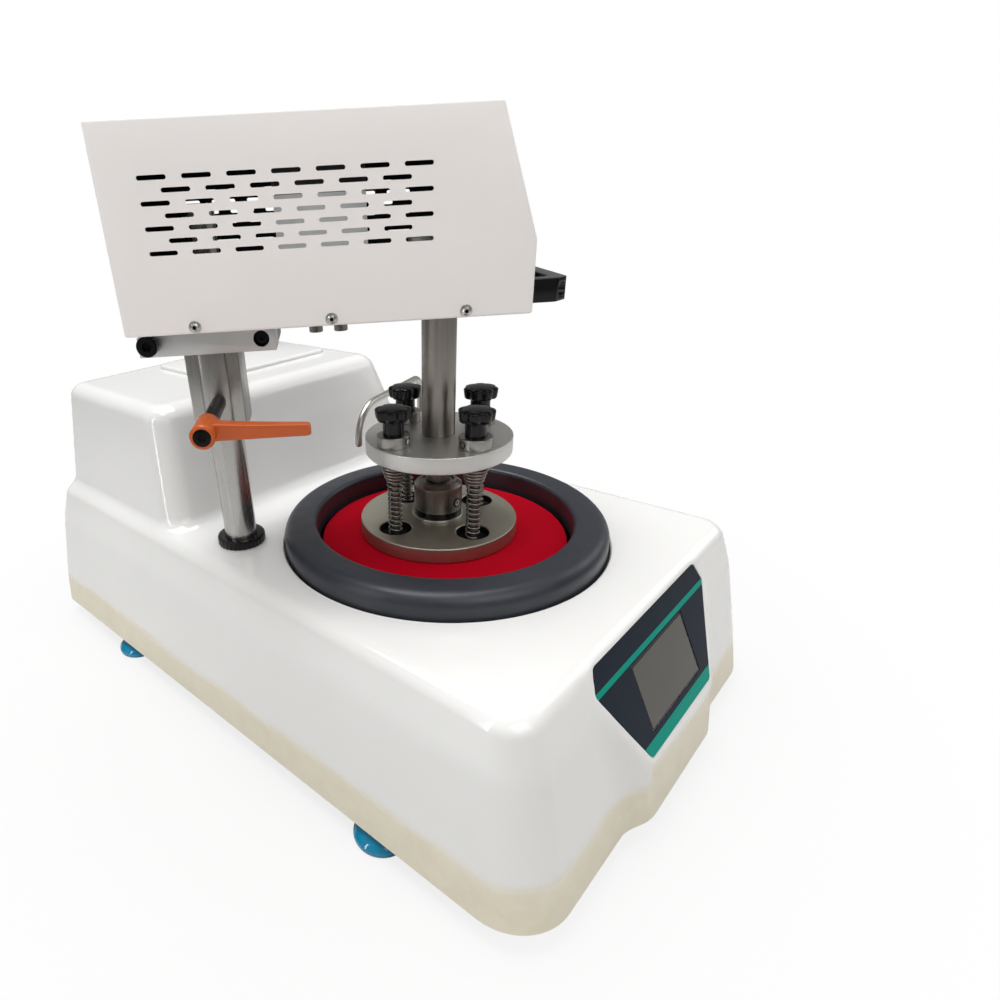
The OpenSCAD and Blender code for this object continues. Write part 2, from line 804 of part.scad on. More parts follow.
// Platen motor, hung from a plate on four posts
module drive_motor() color("dimgray") translate([0, motor_y, 0]) {
  difference() {
    union() {
      translate([-motor_plate_w / 2, -motor_plate_d / 2, -motor_low])
        cube([motor_plate_w, motor_plate_d, motor_plate_t]);
      rotate_extrude() polygon(concat([[0, motor_plate_t - motor_low], [motor_r, motor_plate_t - motor_low]],
        [for (i = [1 : motor_ribs], j = [0 : 3])
          [j == 0 || j == 3 ? motor_r : motor_rib_r,
            motor_plate_t - motor_low + motor_h * i / (motor_ribs + 1) + (j < 2 ? 0 : motor_rib_h)]],
        [[motor_r, motor_plate_t - motor_low + motor_h], [0, motor_plate_t - motor_low + motor_h]]));
    }
    translate([0, 0, -motor_low - cut])
      cylinder(r = motor_shaft_r + gap, h = motor_plate_t + motor_rib_h + cut + gap);
  }
  for (x = [-1, 1], y = [-1, 1])
    translate([x * (motor_plate_w / 2 - motor_post_in), y * (motor_plate_d / 2 - motor_post_in), -body_h + base_t])
      cylinder(r = motor_post_r, h = body_h - base_t - motor_low);
}

// Drain spigot through the rear wall, with a hose bead
module drain_spigot() color("dimgray") translate([drain_x, body_rear, drain_z]) rotate([-90, 0, 0])
  rotate_extrude() polygon([
    [drain_d / 2 - drain_t, -drain_in], [drain_d / 2, -drain_in], [drain_d / 2, 0], [drain_flange_r, 0],
    [drain_flange_r, drain_flange_t], [drain_d / 2, drain_flange_t], [drain_d / 2, drain_len - drain_chamfer],
    [drain_d / 2 - drain_chamfer, drain_len], [drain_d / 2 - drain_t, drain_len]]);

// Water inlet nozzle through the rear wall, with a six-sided flange
module water_inlet() color("whitesmoke") translate([inlet_x, body_rear, inlet_z]) rotate([-90, 0, 0])
  difference() {
    union() {
      translate([0, 0, -inlet_in]) cylinder(r = inlet_d / 2 - inlet_step, h = inlet_in);
      cylinder(r = inlet_flange_r, h = inlet_flange_t, $fn = 6);
      cylinder(r = inlet_d / 2, h = inlet_len);
    }
    translate([0, 0, -inlet_in - cut]) cylinder(r = inlet_bore_r, h = inlet_in + inlet_len + 2 * cut);
  }

// Power inlet module: flange, recessed socket with three blades and a frame for the rocker
module power_inlet() color("black") translate([power_x, body_rear, power_z]) {
  difference() {
    union() {
      rotate([-90, 0, 0]) linear_extrude(power_flange_t)
        round_rect(-power_w / 2, -power_h / 2, power_w / 2, power_h / 2, power_corner_r);
      translate([-power_body_w / 2, -power_in, -power_body_h / 2]) cube([power_body_w, power_in, power_body_h]);
    }
    translate([-socket_w / 2, power_flange_t - socket_d, -socket_drop - socket_h / 2])
      cube([socket_w, socket_d + cut, socket_h]);
    translate([-switch_w / 2, power_flange_t - switch_d, switch_rise - switch_h / 2])
      cube([switch_w, switch_d + cut, switch_h]);
    translate([-switch_w / 2 - rocker_pin_len, power_flange_t - rocker_pin_in, switch_rise]) rotate([0, 90, 0])
      cylinder(r = rocker_pin_r + fit, h = switch_w + 2 * rocker_pin_len);
  }
  for (i = [-1 : 1]) translate([i * pin_pitch - pin_w / 2, power_flange_t - socket_d,
    -socket_drop - pin_h / 2 + (i == 0 ? pin_rise : 0)]) cube([pin_w, pin_len, pin_h]);
}

// Rocker of the mains switch, on its own cross pin
module rocker_switch() color("black") translate([power_x, body_rear + power_flange_t, power_z + switch_rise]) {
  w = switch_w - 2 * rocker_gap;
  h = switch_h - 4 * rocker_gap;
  rotate([0, -90, 0]) translate([0, 0, -w / 2]) linear_extrude(w) polygon([
    [-h / 2, -rocker_in], [h / 2 - rocker_gap, -rocker_in], [h / 2, rocker_out / 3],
    [0, rocker_out / 3], [-h / 2 + rocker_draft, rocker_out], [-h / 2, 0]]);
  pin = switch_w / 2 + rocker_pin_len - rocker_gap;
  translate([-pin, -rocker_pin_in, 0]) rotate([0, 90, 0]) cylinder(r = rocker_pin_r, h = 2 * pin);
}

// Thin overlay in the panel recess, with the display window
module panel_overlay() color("midnightblue") panel_frame() translate([0, 0, -overlay_t]) difference() {
  linear_extrude(overlay_t) panel_outline();
  translate([-screen_w / 2 - screen_gap, -screen_low - screen_h - screen_gap, -cut])
    cube([screen_w + 2 * screen_gap, screen_h + 2 * screen_gap, overlay_t + 2 * cut]);
}

// Touch display, with its back frame against the inside of the housing
module touch_screen() color("gray") panel_frame() {
  translate([-screen_w / 2, -screen_low - screen_h, -shell_t - screen_back_t])
    cube([screen_w, screen_h, shell_t + screen_back_t - screen_sink]);
  translate([-screen_w / 2 - screen_back_rim, -screen_low - screen_h - screen_back_rim, -shell_t - screen_back_t])
    cube([screen_w + 2 * screen_back_rim, screen_h + 2 * screen_back_rim, screen_back_t]);
}

// Raised service lid on the hood
module service_lid() color("white") translate([lid_x, lid_y, hood_h]) {
  linear_extrude(lid_h - lid_edge)
    round_rect(-lid_w / 2, -lid_d / 2, lid_w / 2, lid_d / 2, lid_corner_r);
  translate([0, 0, lid_h - lid_edge]) linear_extrude(lid_edge / 2)
    round_rect(-lid_w / 2 + lid_edge / 3, -lid_d / 2 + lid_edge / 3, lid_w / 2 - lid_edge / 3,
      lid_d / 2 - lid_edge / 3, lid_corner_r);
  translate([0, 0, lid_h - lid_edge / 2]) linear_extrude(lid_edge / 2)
    round_rect(-lid_w / 2 + lid_edge, -lid_d / 2 + lid_edge, lid_w / 2 - lid_edge,
      lid_d / 2 - lid_edge, lid_corner_r);
}

// Stainless column tube with its foot flange on the base plate
module column_tube() color("silver") translate([column_x, column_y, 0]) {
  z0 = -body_h + base_t;
  rotate_extrude() polygon([
    [column_r - column_wall, z0], [column_foot_r, z0], [column_foot_r, z0 + column_foot_t],
    [column_r, z0 + column_foot_t], [column_r, column_top - cut], [column_r - cut, column_top],
    [column_r - column_wall, column_top]]);
}

// Toothed ring nut round the column on the deck
module column_collar() color("black") translate([column_x, column_y, 0]) difference() {
  linear_extrude(nut_h) {
    circle(r = nut_r - nut_tooth_r);
    for (i = [0 : nut_teeth - 1]) translate(polar(nut_r - nut_tooth_r, i * 360 / nut_teeth))
      circle(r = nut_tooth_r, $fn = 16);
  }
  translate([0, 0, -cut]) cylinder(r = column_r, h = nut_h + 2 * cut);
}

// Swivel nut of the water spout
module spout_nut() color("silver") translate([spout_right, spout_back, 0]) difference() {
  union() {
    cylinder(r = spout_nut_r, h = spout_nut_h, $fn = 6);
    cylinder(r = spout_nut_r * 0.8, h = spout_bush_h);
    translate([0, 0, -shell_t - spout_bush_h]) cylinder(r = spout_collar_r, h = shell_t + spout_bush_h);
  }
  translate([0, 0, -shell_t - spout_bush_h - cut])
    cylinder(r = spout_r + fit, h = shell_t + 2 * spout_bush_h + 2 * cut);
}

// Bent water spout: riser, long run and drooping nose
module water_spout() color("silver") translate([spout_right, spout_back, 0]) rotate([0, 0, spout_angle]) {
  run = spout_reach - spout_bend_r - spout_nose_r;
  difference() {
    union() {
      translate([0, 0, -spout_tail]) cylinder(r = spout_r, h = spout_tail + spout_z - spout_bend_r);
      translate([0, 0, spout_bush_h + gap]) cylinder(r = spout_collar_r, h = spout_collar_h);
      translate([spout_bend_r, 0, spout_z - spout_bend_r]) rotate([90, 0, 0]) rotate([0, 0, 90])
        rotate_extrude(angle = 90) translate([spout_bend_r, 0]) circle(r = spout_r);
      translate([spout_bend_r, 0, spout_z]) rotate([0, 90, 0]) cylinder(r = spout_r, h = run);
      translate([spout_bend_r + run, 0, spout_z - spout_nose_r]) rotate([90, 0, 0])
        rotate_extrude(angle = 90) translate([spout_nose_r, 0]) circle(r = spout_r);
      translate([spout_reach, 0, spout_tip_z]) cylinder(r = spout_r, h = spout_z - spout_nose_r - spout_tip_z);
    }
    translate([spout_reach, 0, spout_tip_z - cut])
      cylinder(r = spout_bore_r, h = spout_z - spout_nose_r - spout_tip_z);
  }
}

// Frame of the head: x along the head from the column, y away from the lever's side
module head_frame() {
  translate([column_x, column_y, 0]) rotate([0, 0, head_angle]) children();
}

// Plastic bush that slides on the column and carries the clamp sleeve on its rim
module column_bush() color("ivory") translate([column_x, column_y, 0]) difference() {
  union() {
    translate([0, 0, sleeve_z - gap - bush_rim_h]) cylinder(r = bush_rim_r, h = bush_rim_h);
    translate([0, 0, sleeve_z - gap]) cylinder(r = bush_r, h = bar_z + bar_h - sleeve_z);
  }
  translate([0, 0, sleeve_z - gap - bush_rim_h - cut]) cylinder(r = column_r + fit, h = head_z);
}

// Clamp sleeve: square block with a round nose, slit and bored for the bush
module clamp_sleeve() color("silver") head_frame() difference() {
  translate([0, 0, sleeve_z]) linear_extrude(bar_z - sleeve_z) {
    round_rect(-sleeve_w / 2, -sleeve_w / 2, sleeve_w / 2, sleeve_w / 2, sleeve_corner_r);
    translate([0, -sleeve_w / 2]) scale(1) intersection() {
      translate([0, nose_w / 2 - nose_out]) circle(r = nose_w / 2);
      translate([-nose_w / 2, -nose_out]) square([nose_w, nose_w]);
    }
  }
  translate([0, 0, sleeve_z - cut]) cylinder(r = bush_r + fit, h = bar_z);
  translate([-sleeve_slit / 2, 0, sleeve_z - cut]) cube([sleeve_slit, sleeve_w, bar_z]);
}

// Rear clamp bar behind the split, with round corners
module clamp_block() color("gray") head_frame() difference() {
  translate([0, 0, bar_z]) linear_extrude(bar_h) {
    round_rect(-bar_back, -bar_split, bar_len - bar_back, back_bar_d - bar_split, bar_corner_r);
    translate([-bar_back, -bar_split]) square([bar_len, bar_corner_r]);
  }
  translate([0, 0, bar_z - cut]) cylinder(r = bush_r + fit, h = bar_h + 2 * cut);
}

// Front clamp bar with a chamfered corner, a proud bolt head and a sunk screw
module clamp_bar() color("silver") head_frame() {
  difference() {
    translate([-bar_back, -bar_split, bar_z]) rotate([90, 0, 0]) linear_extrude(bar_d) polygon([
      [0, 0], [bar_len, 0], [bar_len, bar_h], [bar_chamfer, bar_h], [0, bar_h - bar_chamfer]]);
    translate([0, 0, bar_z - cut]) cylinder(r = bush_r + fit, h = bar_h + 2 * cut);
    translate([bar_screw_s, -bar_front_w + sink_d, bar_z + bar_h * bolt_z_share]) rotate([90, 0, 0])
      cylinder(r = sink_r, h = sink_d + cut);
  }
  translate([bar_bolt_s, -bar_front_w, bar_z + bar_h * bolt_z_share]) rotate([90, 0, 0])
    cylinder(r = bolt_head_r, h = bolt_head_h);
  translate([bar_screw_s, -bar_front_w + sink_d, bar_z + bar_h * bolt_z_share]) rotate([90, 0, 0])
    cylinder(r = sink_core_r, h = sink_core_h);
}

// Side outline of the head casing, drawn in by a wall and raised by a step
module head_outline(in, up) {
  polygon([
    [-head_back + in, up], [head_front - in, up], [head_front - in, head_brow - in / 3],
    [head_front - head_slope - in, head_h - in], [-head_back + in, head_h - in]]);
}

// Tray that carries the casing, bolted to the clamp bars, with raised lips
module head_chassis() color("gray") head_frame() {
  w = head_half - head_t - chassis_gap;
  x0 = -head_back + head_t + chassis_gap;
  x1 = head_front - head_t - chassis_gap;
  z0 = bar_z + bar_h;
  difference() {
    translate([x0, -w, z0]) cube([x1 - x0, 2 * w, chassis_lip]);
    translate([x0 - cut, -w + chassis_t, z0 + chassis_t]) cube([x1 - x0 - chassis_t, 2 * w - 2 * chassis_t, chassis_lip]);
    translate([0, 0, z0 - cut]) cylinder(r = bush_rim_r + chassis_t, h = chassis_t + 2 * cut);
    translate([head_reach, 0, z0 - cut]) cylinder(r = spindle_r + chassis_t, h = chassis_t + 2 * cut);
  }
}

// Flat pattern of the casing's ventilation slots
module slot_pattern() {
  for (j = [0 : slot_rows - 1]) {
    odd = j % 2;
    for (i = [0 : slot_n - 1 - odd])
      translate([slot_s + i * slot_pitch + odd * slot_pitch / 2, head_h * slot_top_share - j * slot_row]) {
        translate([-slot_len / 2 + slot_w / 2, -slot_w / 2]) square([slot_len - slot_w, slot_w]);
        for (x = [-1, 1]) translate([x * (slot_len - slot_w) / 2, 0]) circle(r = slot_w / 2, $fn = 24);
      }
  }
}

// Folded sheet casing of the head, with its rows of slots on both sides
module head_cover() color("whitesmoke") head_frame() translate([0, 0, head_z]) difference() {
  translate([0, head_half, 0]) rotate([90, 0, 0]) linear_extrude(head_w) head_outline(0, 0);
  translate([0, head_half - head_t, 0]) rotate([90, 0, 0])
    linear_extrude(head_w - 2 * head_t) head_outline(head_t, -cut);
  translate([0, head_half + cut, 0]) rotate([90, 0, 0]) linear_extrude(head_w + 2 * cut) slot_pattern();
  for (s = cover_screws) translate([s, head_half + cut, cover_screw_up]) rotate([90, 0, 0])
    cylinder(r = cover_screw_r, h = head_w + 2 * cut);
}

// Bridge handle across the front of the casing
module handle() color("black") head_frame() translate([head_front, 0, head_z + handle_up]) difference() {
  linear_extrude(handle_h) difference() {
    polygon([
      [0, -handle_half], [handle_out - handle_corner, -handle_half], [handle_out, -handle_half + handle_corner],
      [handle_out, handle_half - handle_corner], [handle_out - handle_corner, handle_half], [0, handle_half]]);
    polygon([
      [-cut, -handle_half + handle_leg], [handle_out - handle_bar - handle_corner / 2, -handle_half + handle_leg],
      [handle_out - handle_bar, -handle_half + handle_leg + handle_corner / 2],
      [handle_out - handle_bar, handle_half - handle_leg - handle_corner / 2],
      [handle_out - handle_bar - handle_corner / 2, handle_half - handle_leg], [-cut, handle_half - handle_leg]]);
  }
  for (y = [-1, 1]) translate([0, y * (handle_half - handle_leg / 2), handle_h / 2]) rotate([0, 90, 0]) {
    translate([0, 0, -cut]) cylinder(r = handle_bolt_r, h = handle_out + cut);
    translate([0, 0, handle_out - handle_corner / 2 - handle_sink_d]) cylinder(r = handle_sink_r, h = handle_out);
  }
}

// Head motor: square gearbox on the tray with a round motor can above it
module head_motor() color("darkgray") head_frame() translate([motor_s, 0, bar_z + bar_h + chassis_t]) {
  linear_extrude(gear_h) round_rect(-gear_w / 2, -gear_d / 2, gear_w / 2, gear_d / 2, bar_corner_r);
  translate([0, 0, gear_h]) cylinder(r = can_r, h = can_h);
}

// Bearing housing of the spindle on the tray
module spindle_housing() color("silver") head_frame()
  translate([head_reach, 0, bar_z + bar_h + chassis_t]) difference() {
    union() {
      cylinder(r = spindle_r * 2.4, h = chassis_t * 4);
      cylinder(r = spindle_r * 1.7, h = gear_h + chassis_lip);
    }
    translate([0, 0, -cut]) cylinder(r = spindle_r + fit, h = gear_h + chassis_lip + 2 * cut);
  }

// Two knurled cable fittings under the casing
module head_fittings() color("silver") head_frame()
  for (s = fitting_s) translate([s, -fitting_w, bar_z + bar_h]) {
    translate([0, 0, -fitting_neck_h]) cylinder(r = fitting_neck_r, h = fitting_neck_h);
    translate([0, 0, -fitting_h]) cylinder(r = fitting_r, h = fitting_h - fitting_neck_h);
  }

// Round stud between the sleeve and the clamp lever's hub
module lever_stud() color("black") head_frame()
  translate([lever_s, -sleeve_w / 2 - nose_out, lever_z]) rotate([90, 0, 0])
    cylinder(r = stud_r, h = stud_out - sleeve_w / 2 - nose_out - gap);

// Clamp lever: bored hub, cap screw and tapering arm
module clamp_lever() color("darkorange") head_frame()
  translate([lever_s, -hub_reach, lever_z]) {
    difference() {
      rotate([-90, 0, 0]) cylinder(r = hub_d / 2, h = hub_len);
      rotate([-90, 0, 0]) translate([0, 0, -cut]) cylinder(r = lever_screw_r, h = lever_screw_sink + cut);
    }
    difference() {
      hull() {
        translate([0, lever_root_t, -lever_root_h / 2]) cylinder(r = lever_root_t / 2, h = lever_root_h, $fn = hull_fn);
        translate([lever_len - lever_tip_t / 2, lever_root_t, -lever_tip_h / 2 - lever_drop])
          cylinder(r = lever_tip_t / 2, h = lever_tip_h, $fn = hull_fn);
      }
      translate([0, hub_len, 0]) rotate([90, 0, 0]) cylinder(r = hub_d / 4, h = hub_len * 0.8);
    }
  }

// Place of everything that turns about the spindle axis
module spindle_frame() {
  translate([spindle_x, spindle_y, 0]) children();
}

// Spindle tube from the upper disc into the bearing housing
module spindle_tube() color("silver") spindle_frame() difference() {
  translate([0, 0, disc_top]) cylinder(r = spindle_r, h = head_z + gear_h + chassis_lip - disc_top);
  translate([0, 0, disc_top + disc_t]) cylinder(r = spindle_r - spindle_wall, h = head_z);
}

// Place of one plunger on the circle of specimen holes
module plunger_frame(k) {
  spindle_frame() rotate([0, 0, hole_angles[k]]) translate([hole_pitch_r, 0, 0]) children();
}

// Upper disc that guides the four plungers
module upper_disc() color("gainsboro") difference() {
  spindle_frame() rotate_extrude($fn = 96) polygon([
    [0, disc_z], [disc_d / 2 - disc_edge, disc_z], [disc_d / 2, disc_z + disc_edge],
    [disc_d / 2, disc_top - disc_edge], [disc_d / 2 - disc_edge, disc_top], [0, disc_top]]);
  for (k = [0 : 3]) plunger_frame(k) translate([0, 0, disc_z - cut])
    cylinder(r = rod_r + fit, h = disc_t + 2 * cut);
}

// Coupling between the upper disc and the holder, with a groove and a chamfered shoulder
module coupling() color("silver") spindle_frame() difference() {
  z1 = coupling_z + coupling_flange_t;
  z2 = z1 + coupling_groove_t;
  z3 = z2 + coupling_body_h;
  rotate_extrude() polygon([
    [0, holder_top], [coupling_hub_r, holder_top], [coupling_hub_r, coupling_z],
    [coupling_flange_r, coupling_z], [coupling_flange_r, z1], [coupling_groove_r, z1],
    [coupling_groove_r, z2], [coupling_body_r, z2], [coupling_body_r, z3],
    [coupling_neck_r, z3 + coupling_chamfer], [coupling_neck_r, disc_z], [0, disc_z]]);
  rotate([0, 0, head_angle]) translate([coupling_body_r - coupling_screw_sink, 0, (z2 + z3) / 2])
    rotate([0, 90, 0]) cylinder(r = coupling_screw_r, h = coupling_body_r);
}

// Specimen holder disc with four through holes
module holder_disc() color("darkkhaki") difference() {
  spindle_frame() rotate_extrude($fn = 96) polygon([
    [0, holder_gap], [holder_r - holder_edge, holder_gap], [holder_r, holder_gap + holder_edge],
    [holder_r, holder_top - holder_edge], [holder_r - holder_edge, holder_top], [0, holder_top]]);
  for (k = [0 : 3]) plunger_frame(k) translate([0, 0, -cut]) cylinder(r = hole_d / 2, h = holder_t + 3 * cut);
}

// Steel collar of a plunger on the upper disc, with a radial set screw hole
module collar(k) color("silver") plunger_frame(k) translate([0, 0, disc_top]) difference() {
  cylinder(r = collar_r, h = collar_h);
  translate([0, 0, -cut]) cylinder(r = rod_r + fit, h = collar_h + 2 * cut);
  translate([collar_r - collar_screw_sink, 0, collar_h / 2]) rotate([0, 90, 0])
    cylinder(r = collar_screw_r, h = collar_r);
}

// Lobed knob of a plunger, domed on top and blind-bored for the rod
module knob(k) color("black") plunger_frame(k) translate([0, 0, knob_z]) {
  h1 = knob_h * knob_stem_share;
  h2 = knob_h * knob_head_share;
  difference() {
    union() {
      cylinder(r = knob_stem_r, h = h1);
      intersection() {
        translate([0, 0, h1]) linear_extrude(knob_h - h1) {
          circle(r = knob_d / 2 - knob_lobe_r);
          for (i = [0 : knob_lobes - 1]) translate(polar(knob_d / 2 - knob_lobe_r, (i + 0.5) * 360 / knob_lobes))
            circle(r = knob_lobe_r, $fn = 24);
        }
        rotate_extrude() polygon([
          [0, h1], [knob_d / 2 - knob_lobe_r / 2, h1], [knob_d / 2, h1 + h2 / 4], [knob_d / 2, h1 + h2],
          [knob_d / 2 - knob_lobe_r / 2, h1 + h2 + (knob_h - h1 - h2) * 0.6],
          [knob_d / 2 - 2 * knob_lobe_r, knob_h - (knob_h - h1 - h2) * 0.12], [0, knob_h]]);
      }
    }
    translate([0, 0, -cut]) cylinder(r = rod_r, h = knob_h * rod_up_share + cut);
  }
}

// Plunger rod with a flanged foot and a nose
module rod(k) color("silver") plunger_frame(k) {
  translate([0, 0, spring_low]) cylinder(r = rod_r, h = knob_z + knob_h * rod_up_share - spring_low);
  translate([0, 0, rod_low + rod_foot_h / 3]) cylinder(r = rod_foot_r, h = rod_foot_h * 2 / 3);
  translate([0, 0, rod_low]) cylinder(r = rod_nose_r, h = rod_foot_h / 3);
}

// Points of the spring's centre line: straight end, wide cone, even coil, straight end
coil_cone_n = coil_cone_turns * coil_rings;
coil_n = coil_turns * coil_rings;
coil_z1 = disc_z - coil_end;
coil_z2 = coil_z1 - coil_cone_h;
coil_z3 = spring_low + coil_end;
function coil_path() = concat(
  [[coil_top_d / 2, 0, disc_z]],
  [for (i = [0 : coil_cone_n - 1]) let (u = i / coil_cone_n, r = coil_top_d / 2 + (coil_d - coil_top_d) / 2 * u)
    concat(polar(r, i * 360 / coil_rings), [coil_z1 - coil_cone_h * u])],
  [for (i = [0 : coil_n]) concat(polar(coil_d / 2, (coil_cone_n + i) * 360 / coil_rings),
    [coil_z2 - (coil_z2 - coil_z3) * i / coil_n])],
  [concat(polar(coil_d / 2, (coil_cone_n + coil_n) * 360 / coil_rings), [spring_low])]);
function unit(v) = v / norm(v);
// Ring of six points round a path point, in the plane that halves its bend
function wire_ring(p, i) = let (
  n = len(p) - 1,
  a = i == 0 ? unit(p[1] - p[0]) : unit(p[i] - p[i - 1]),
  b = i == n ? a : unit(p[i + 1] - p[i]),
  t = unit(a + b),
  q = unit([p[i][0], p[i][1], 0]),
  e = unit(q - (q * t) * t),
  f = cross(t, e))
  [for (j = [0 : 5]) p[i] + wire_r * (cos(j * 60) * e + sin(j * 60) * f)];

// Plunger spring: one unbroken wire from the upper disc to the rod's foot
module spring(k) color("gray") plunger_frame(k) {
  p = coil_path();
  n = len(p);
  pts = [for (i = [0 : n - 1]) each wire_ring(p, i)];
  side = [for (i = [0 : n - 2], j = [0 : 5]) let (a = i * 6 + j, b = i * 6 + (j + 1) % 6)
    each [[a, b, a + 6], [b, b + 6, a + 6]]];
  caps = [for (j = [1 : 4]) each [[0, j + 1, j], [(n - 1) * 6, (n - 1) * 6 + j, (n - 1) * 6 + j + 1]]];
  polyhedron(points = pts, faces = concat(side, caps), convexity = 12);
}

// Least gap between turns of one spring that are half a turn or more apart along the wire
coil_check = coil_path();
coil_gap = min([for (i = [0 : len(coil_check) - 1], j = [i + coil_rings / 2 : len(coil_check) - 1])
  norm(coil_check[i] - coil_check[j])]) - wire_d;
echo(least_spring_gap = coil_gap);  // spring_1

// Place of the deck's centre: over the middle of the machine's box, whose bottom is the bench top
lever_overhang = 0.884;
module placed() translate([lever_overhang, (chin_front - body_rear - drain_len) / 2, body_h + foot_h]) children();

placed() shell();
placed() base_plate();
placed() foot(0);  // foot_1
placed() foot(1);  // foot_2
placed() foot(2);  // foot_3
placed() foot(3);  // foot_4
placed() bowl();
placed() splash_ring();
placed() bearing_housing();
placed() drive_motor();
placed() drive_belt();
placed() drain_spigot();
placed() water_inlet();
placed() power_inlet();
placed() panel_overlay();
placed() touch_screen();
placed() service_lid();
placed() column_tube();
placed() column_collar();
placed() spout_nut();
placed() platen_disc();
placed() cloth();
placed() platen_shaft();
placed() drive_pulley();
placed() motor_pulley();
placed() rocker_switch();
placed() water_spout();
placed() column_bush();
placed() clamp_sleeve();
placed() clamp_block();
placed() clamp_bar();
placed() head_chassis();
placed() head_cover();
placed() handle();
placed() head_motor();
placed() spindle_housing();
placed() head_fittings();
placed() lever_stud();
placed() clamp_lever();
placed() spindle_tube();
placed() upper_disc();
placed() coupling();
placed() holder_disc();
placed() collar(0);  // collar_1
placed() collar(1);  // collar_2
placed() collar(2);  // collar_3
placed() collar(3);  // collar_4
placed() knob(0);  // knob_1
placed() knob(1);  // knob_2
placed() knob(2);  // knob_3
placed() knob(3);  // knob_4
placed() rod(0);  // rod_1
placed() rod(1);  // rod_2
placed() rod(2);  // rod_3
placed() rod(3);  // rod_4
placed() spring(0);  // spring_1
placed() spring(1);  // spring_2
placed() spring(2);  // spring_3
placed() spring(3);  // spring_4
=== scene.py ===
import math

import bmesh
import bpy
import numpy as np
from mathutils import Matrix, Vector


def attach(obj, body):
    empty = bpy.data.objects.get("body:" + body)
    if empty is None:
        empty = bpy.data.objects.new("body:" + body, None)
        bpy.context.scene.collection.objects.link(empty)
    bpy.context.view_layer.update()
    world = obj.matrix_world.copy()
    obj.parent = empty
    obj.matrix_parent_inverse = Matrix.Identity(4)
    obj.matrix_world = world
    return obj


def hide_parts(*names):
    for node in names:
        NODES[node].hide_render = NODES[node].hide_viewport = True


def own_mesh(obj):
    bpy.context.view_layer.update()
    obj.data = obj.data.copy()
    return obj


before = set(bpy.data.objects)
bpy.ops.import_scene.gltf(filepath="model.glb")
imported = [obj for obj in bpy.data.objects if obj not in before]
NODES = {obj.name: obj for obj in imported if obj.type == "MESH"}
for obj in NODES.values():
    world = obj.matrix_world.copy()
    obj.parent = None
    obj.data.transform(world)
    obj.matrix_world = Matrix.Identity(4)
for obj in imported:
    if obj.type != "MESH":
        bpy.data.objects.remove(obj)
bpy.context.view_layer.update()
MM = 0.001
ONE = Matrix.Identity(4)
scene = bpy.context.scene
scene.view_settings.view_transform = "Standard"

# Sizes are in millimetres, from the middle of the platen's working face, as in the part's source.
# PLACE is that point in the row's frame, whose zero is on the bench top.
PLACE = Vector((0.884, -106.75, 163.0))
AT = Matrix.Translation(PLACE)
BENCH_Z, SKIRT_Z = -163, -145     # bench top, lower edge of the housing
REAR_Y = 430                      # rear face of the housing
HOOD_Z = 115                      # top of the hood
HOLDER_TOP = 14.4                 # specimen holder
DISC_LOW, DISC_TOP = 80.6, 95.5   # upper disc
BAR_LOW, BAR_TOP = 186.1, 206.1   # clamp bars


def move(x, y, z):
    return Matrix.Translation((x, y, z))


def turn(angle, axis="Z"):
    return Matrix.Rotation(angle, 4, axis)


def face_x(m):
    """Turns a frame so that its z looks along the old x."""
    return m @ turn(math.radians(90), "Y")


def face_y(m):
    """Turns a frame so that its z looks along the old -y."""
    return m @ turn(math.radians(90), "X")


COLUMN = (-135.5, 138.5)
SPINDLE = (4.4, 8.9)
HEAD_ANGLE = math.atan2(SPINDLE[1] - COLUMN[1], SPINDLE[0] - COLUMN[0])
COL = move(*COLUMN, 0)
HEAD = COL @ turn(HEAD_ANGLE)
SPIN = move(*SPINDLE, 0)
SPOUT = move(150, 148, 0)
PANEL_TILT = math.radians(63.6)
PANEL = move(0, -199.3, -6) @ turn(PANEL_TILT, "X")
PHASE = math.atan2(-13.4, 56.25)
HOLES = [PHASE + math.pi, PHASE + 1.5 * math.pi, PHASE, PHASE + 0.5 * math.pi]
PLUNGERS = [SPIN @ turn(a) @ move(50, 0, 0) for a in HOLES]


def show(name, data):
    """Adds an object to the scene."""
    ob = bpy.data.objects.new(name, data)
    scene.collection.objects.link(ob)
    return ob


def make_camera():
    """Camera solved from the round parts of the photograph."""
    yaw, pitch, roll = (math.radians(a) for a in (44.55, 27.0, 3.21))
    f = Vector((math.sin(yaw) * math.cos(pitch), math.cos(yaw) * math.cos(pitch), -math.sin(pitch)))
    r = Vector((math.cos(yaw), -math.sin(yaw), 0))
    d = f.cross(r)
    right = math.cos(roll) * r + math.sin(roll) * d
    down = -math.sin(roll) * r + math.cos(roll) * d
    cam = bpy.data.cameras.new("camera")
    cam.sensor_width = 36
    cam.lens = 0.650 * cam.sensor_width
    cam.shift_x, cam.shift_y = 0.14397, 0.03085
    cam.clip_start = 0.02
    ob = show("camera", cam)
    m = Matrix((right, -down, -f)).transposed().to_4x4()
    m.translation = Vector((-0.45027, -0.33899, 0.28883)) + PLACE * MM
    ob.matrix_world = m
    scene.camera = ob


make_camera()


# Materials
def new_mat(name):
    m = bpy.data.materials.new(name)
    m.use_nodes = True
    nt = m.node_tree
    return m, nt, nt.nodes["Principled BSDF"]


def put(node, **values):
    """Sets a node's inputs or settings; underscores stand for the spaces in an input's name."""
    for k, v in values.items():
        name = k.replace("_", " ")
        if name in node.inputs:
            node.inputs[name].default_value = v
        else:
            setattr(node, k, v)
    return node


def add(nt, kind, **values):
    return put(nt.nodes.new(kind), **values)


def coords(nt, scale=(1, 1, 1)):
    tc = add(nt, "ShaderNodeTexCoord")
    mp = add(nt, "ShaderNodeMapping", Scale=scale)
    nt.links.new(tc.outputs["Object"], mp.inputs["Vector"])
    return mp.outputs["Vector"]


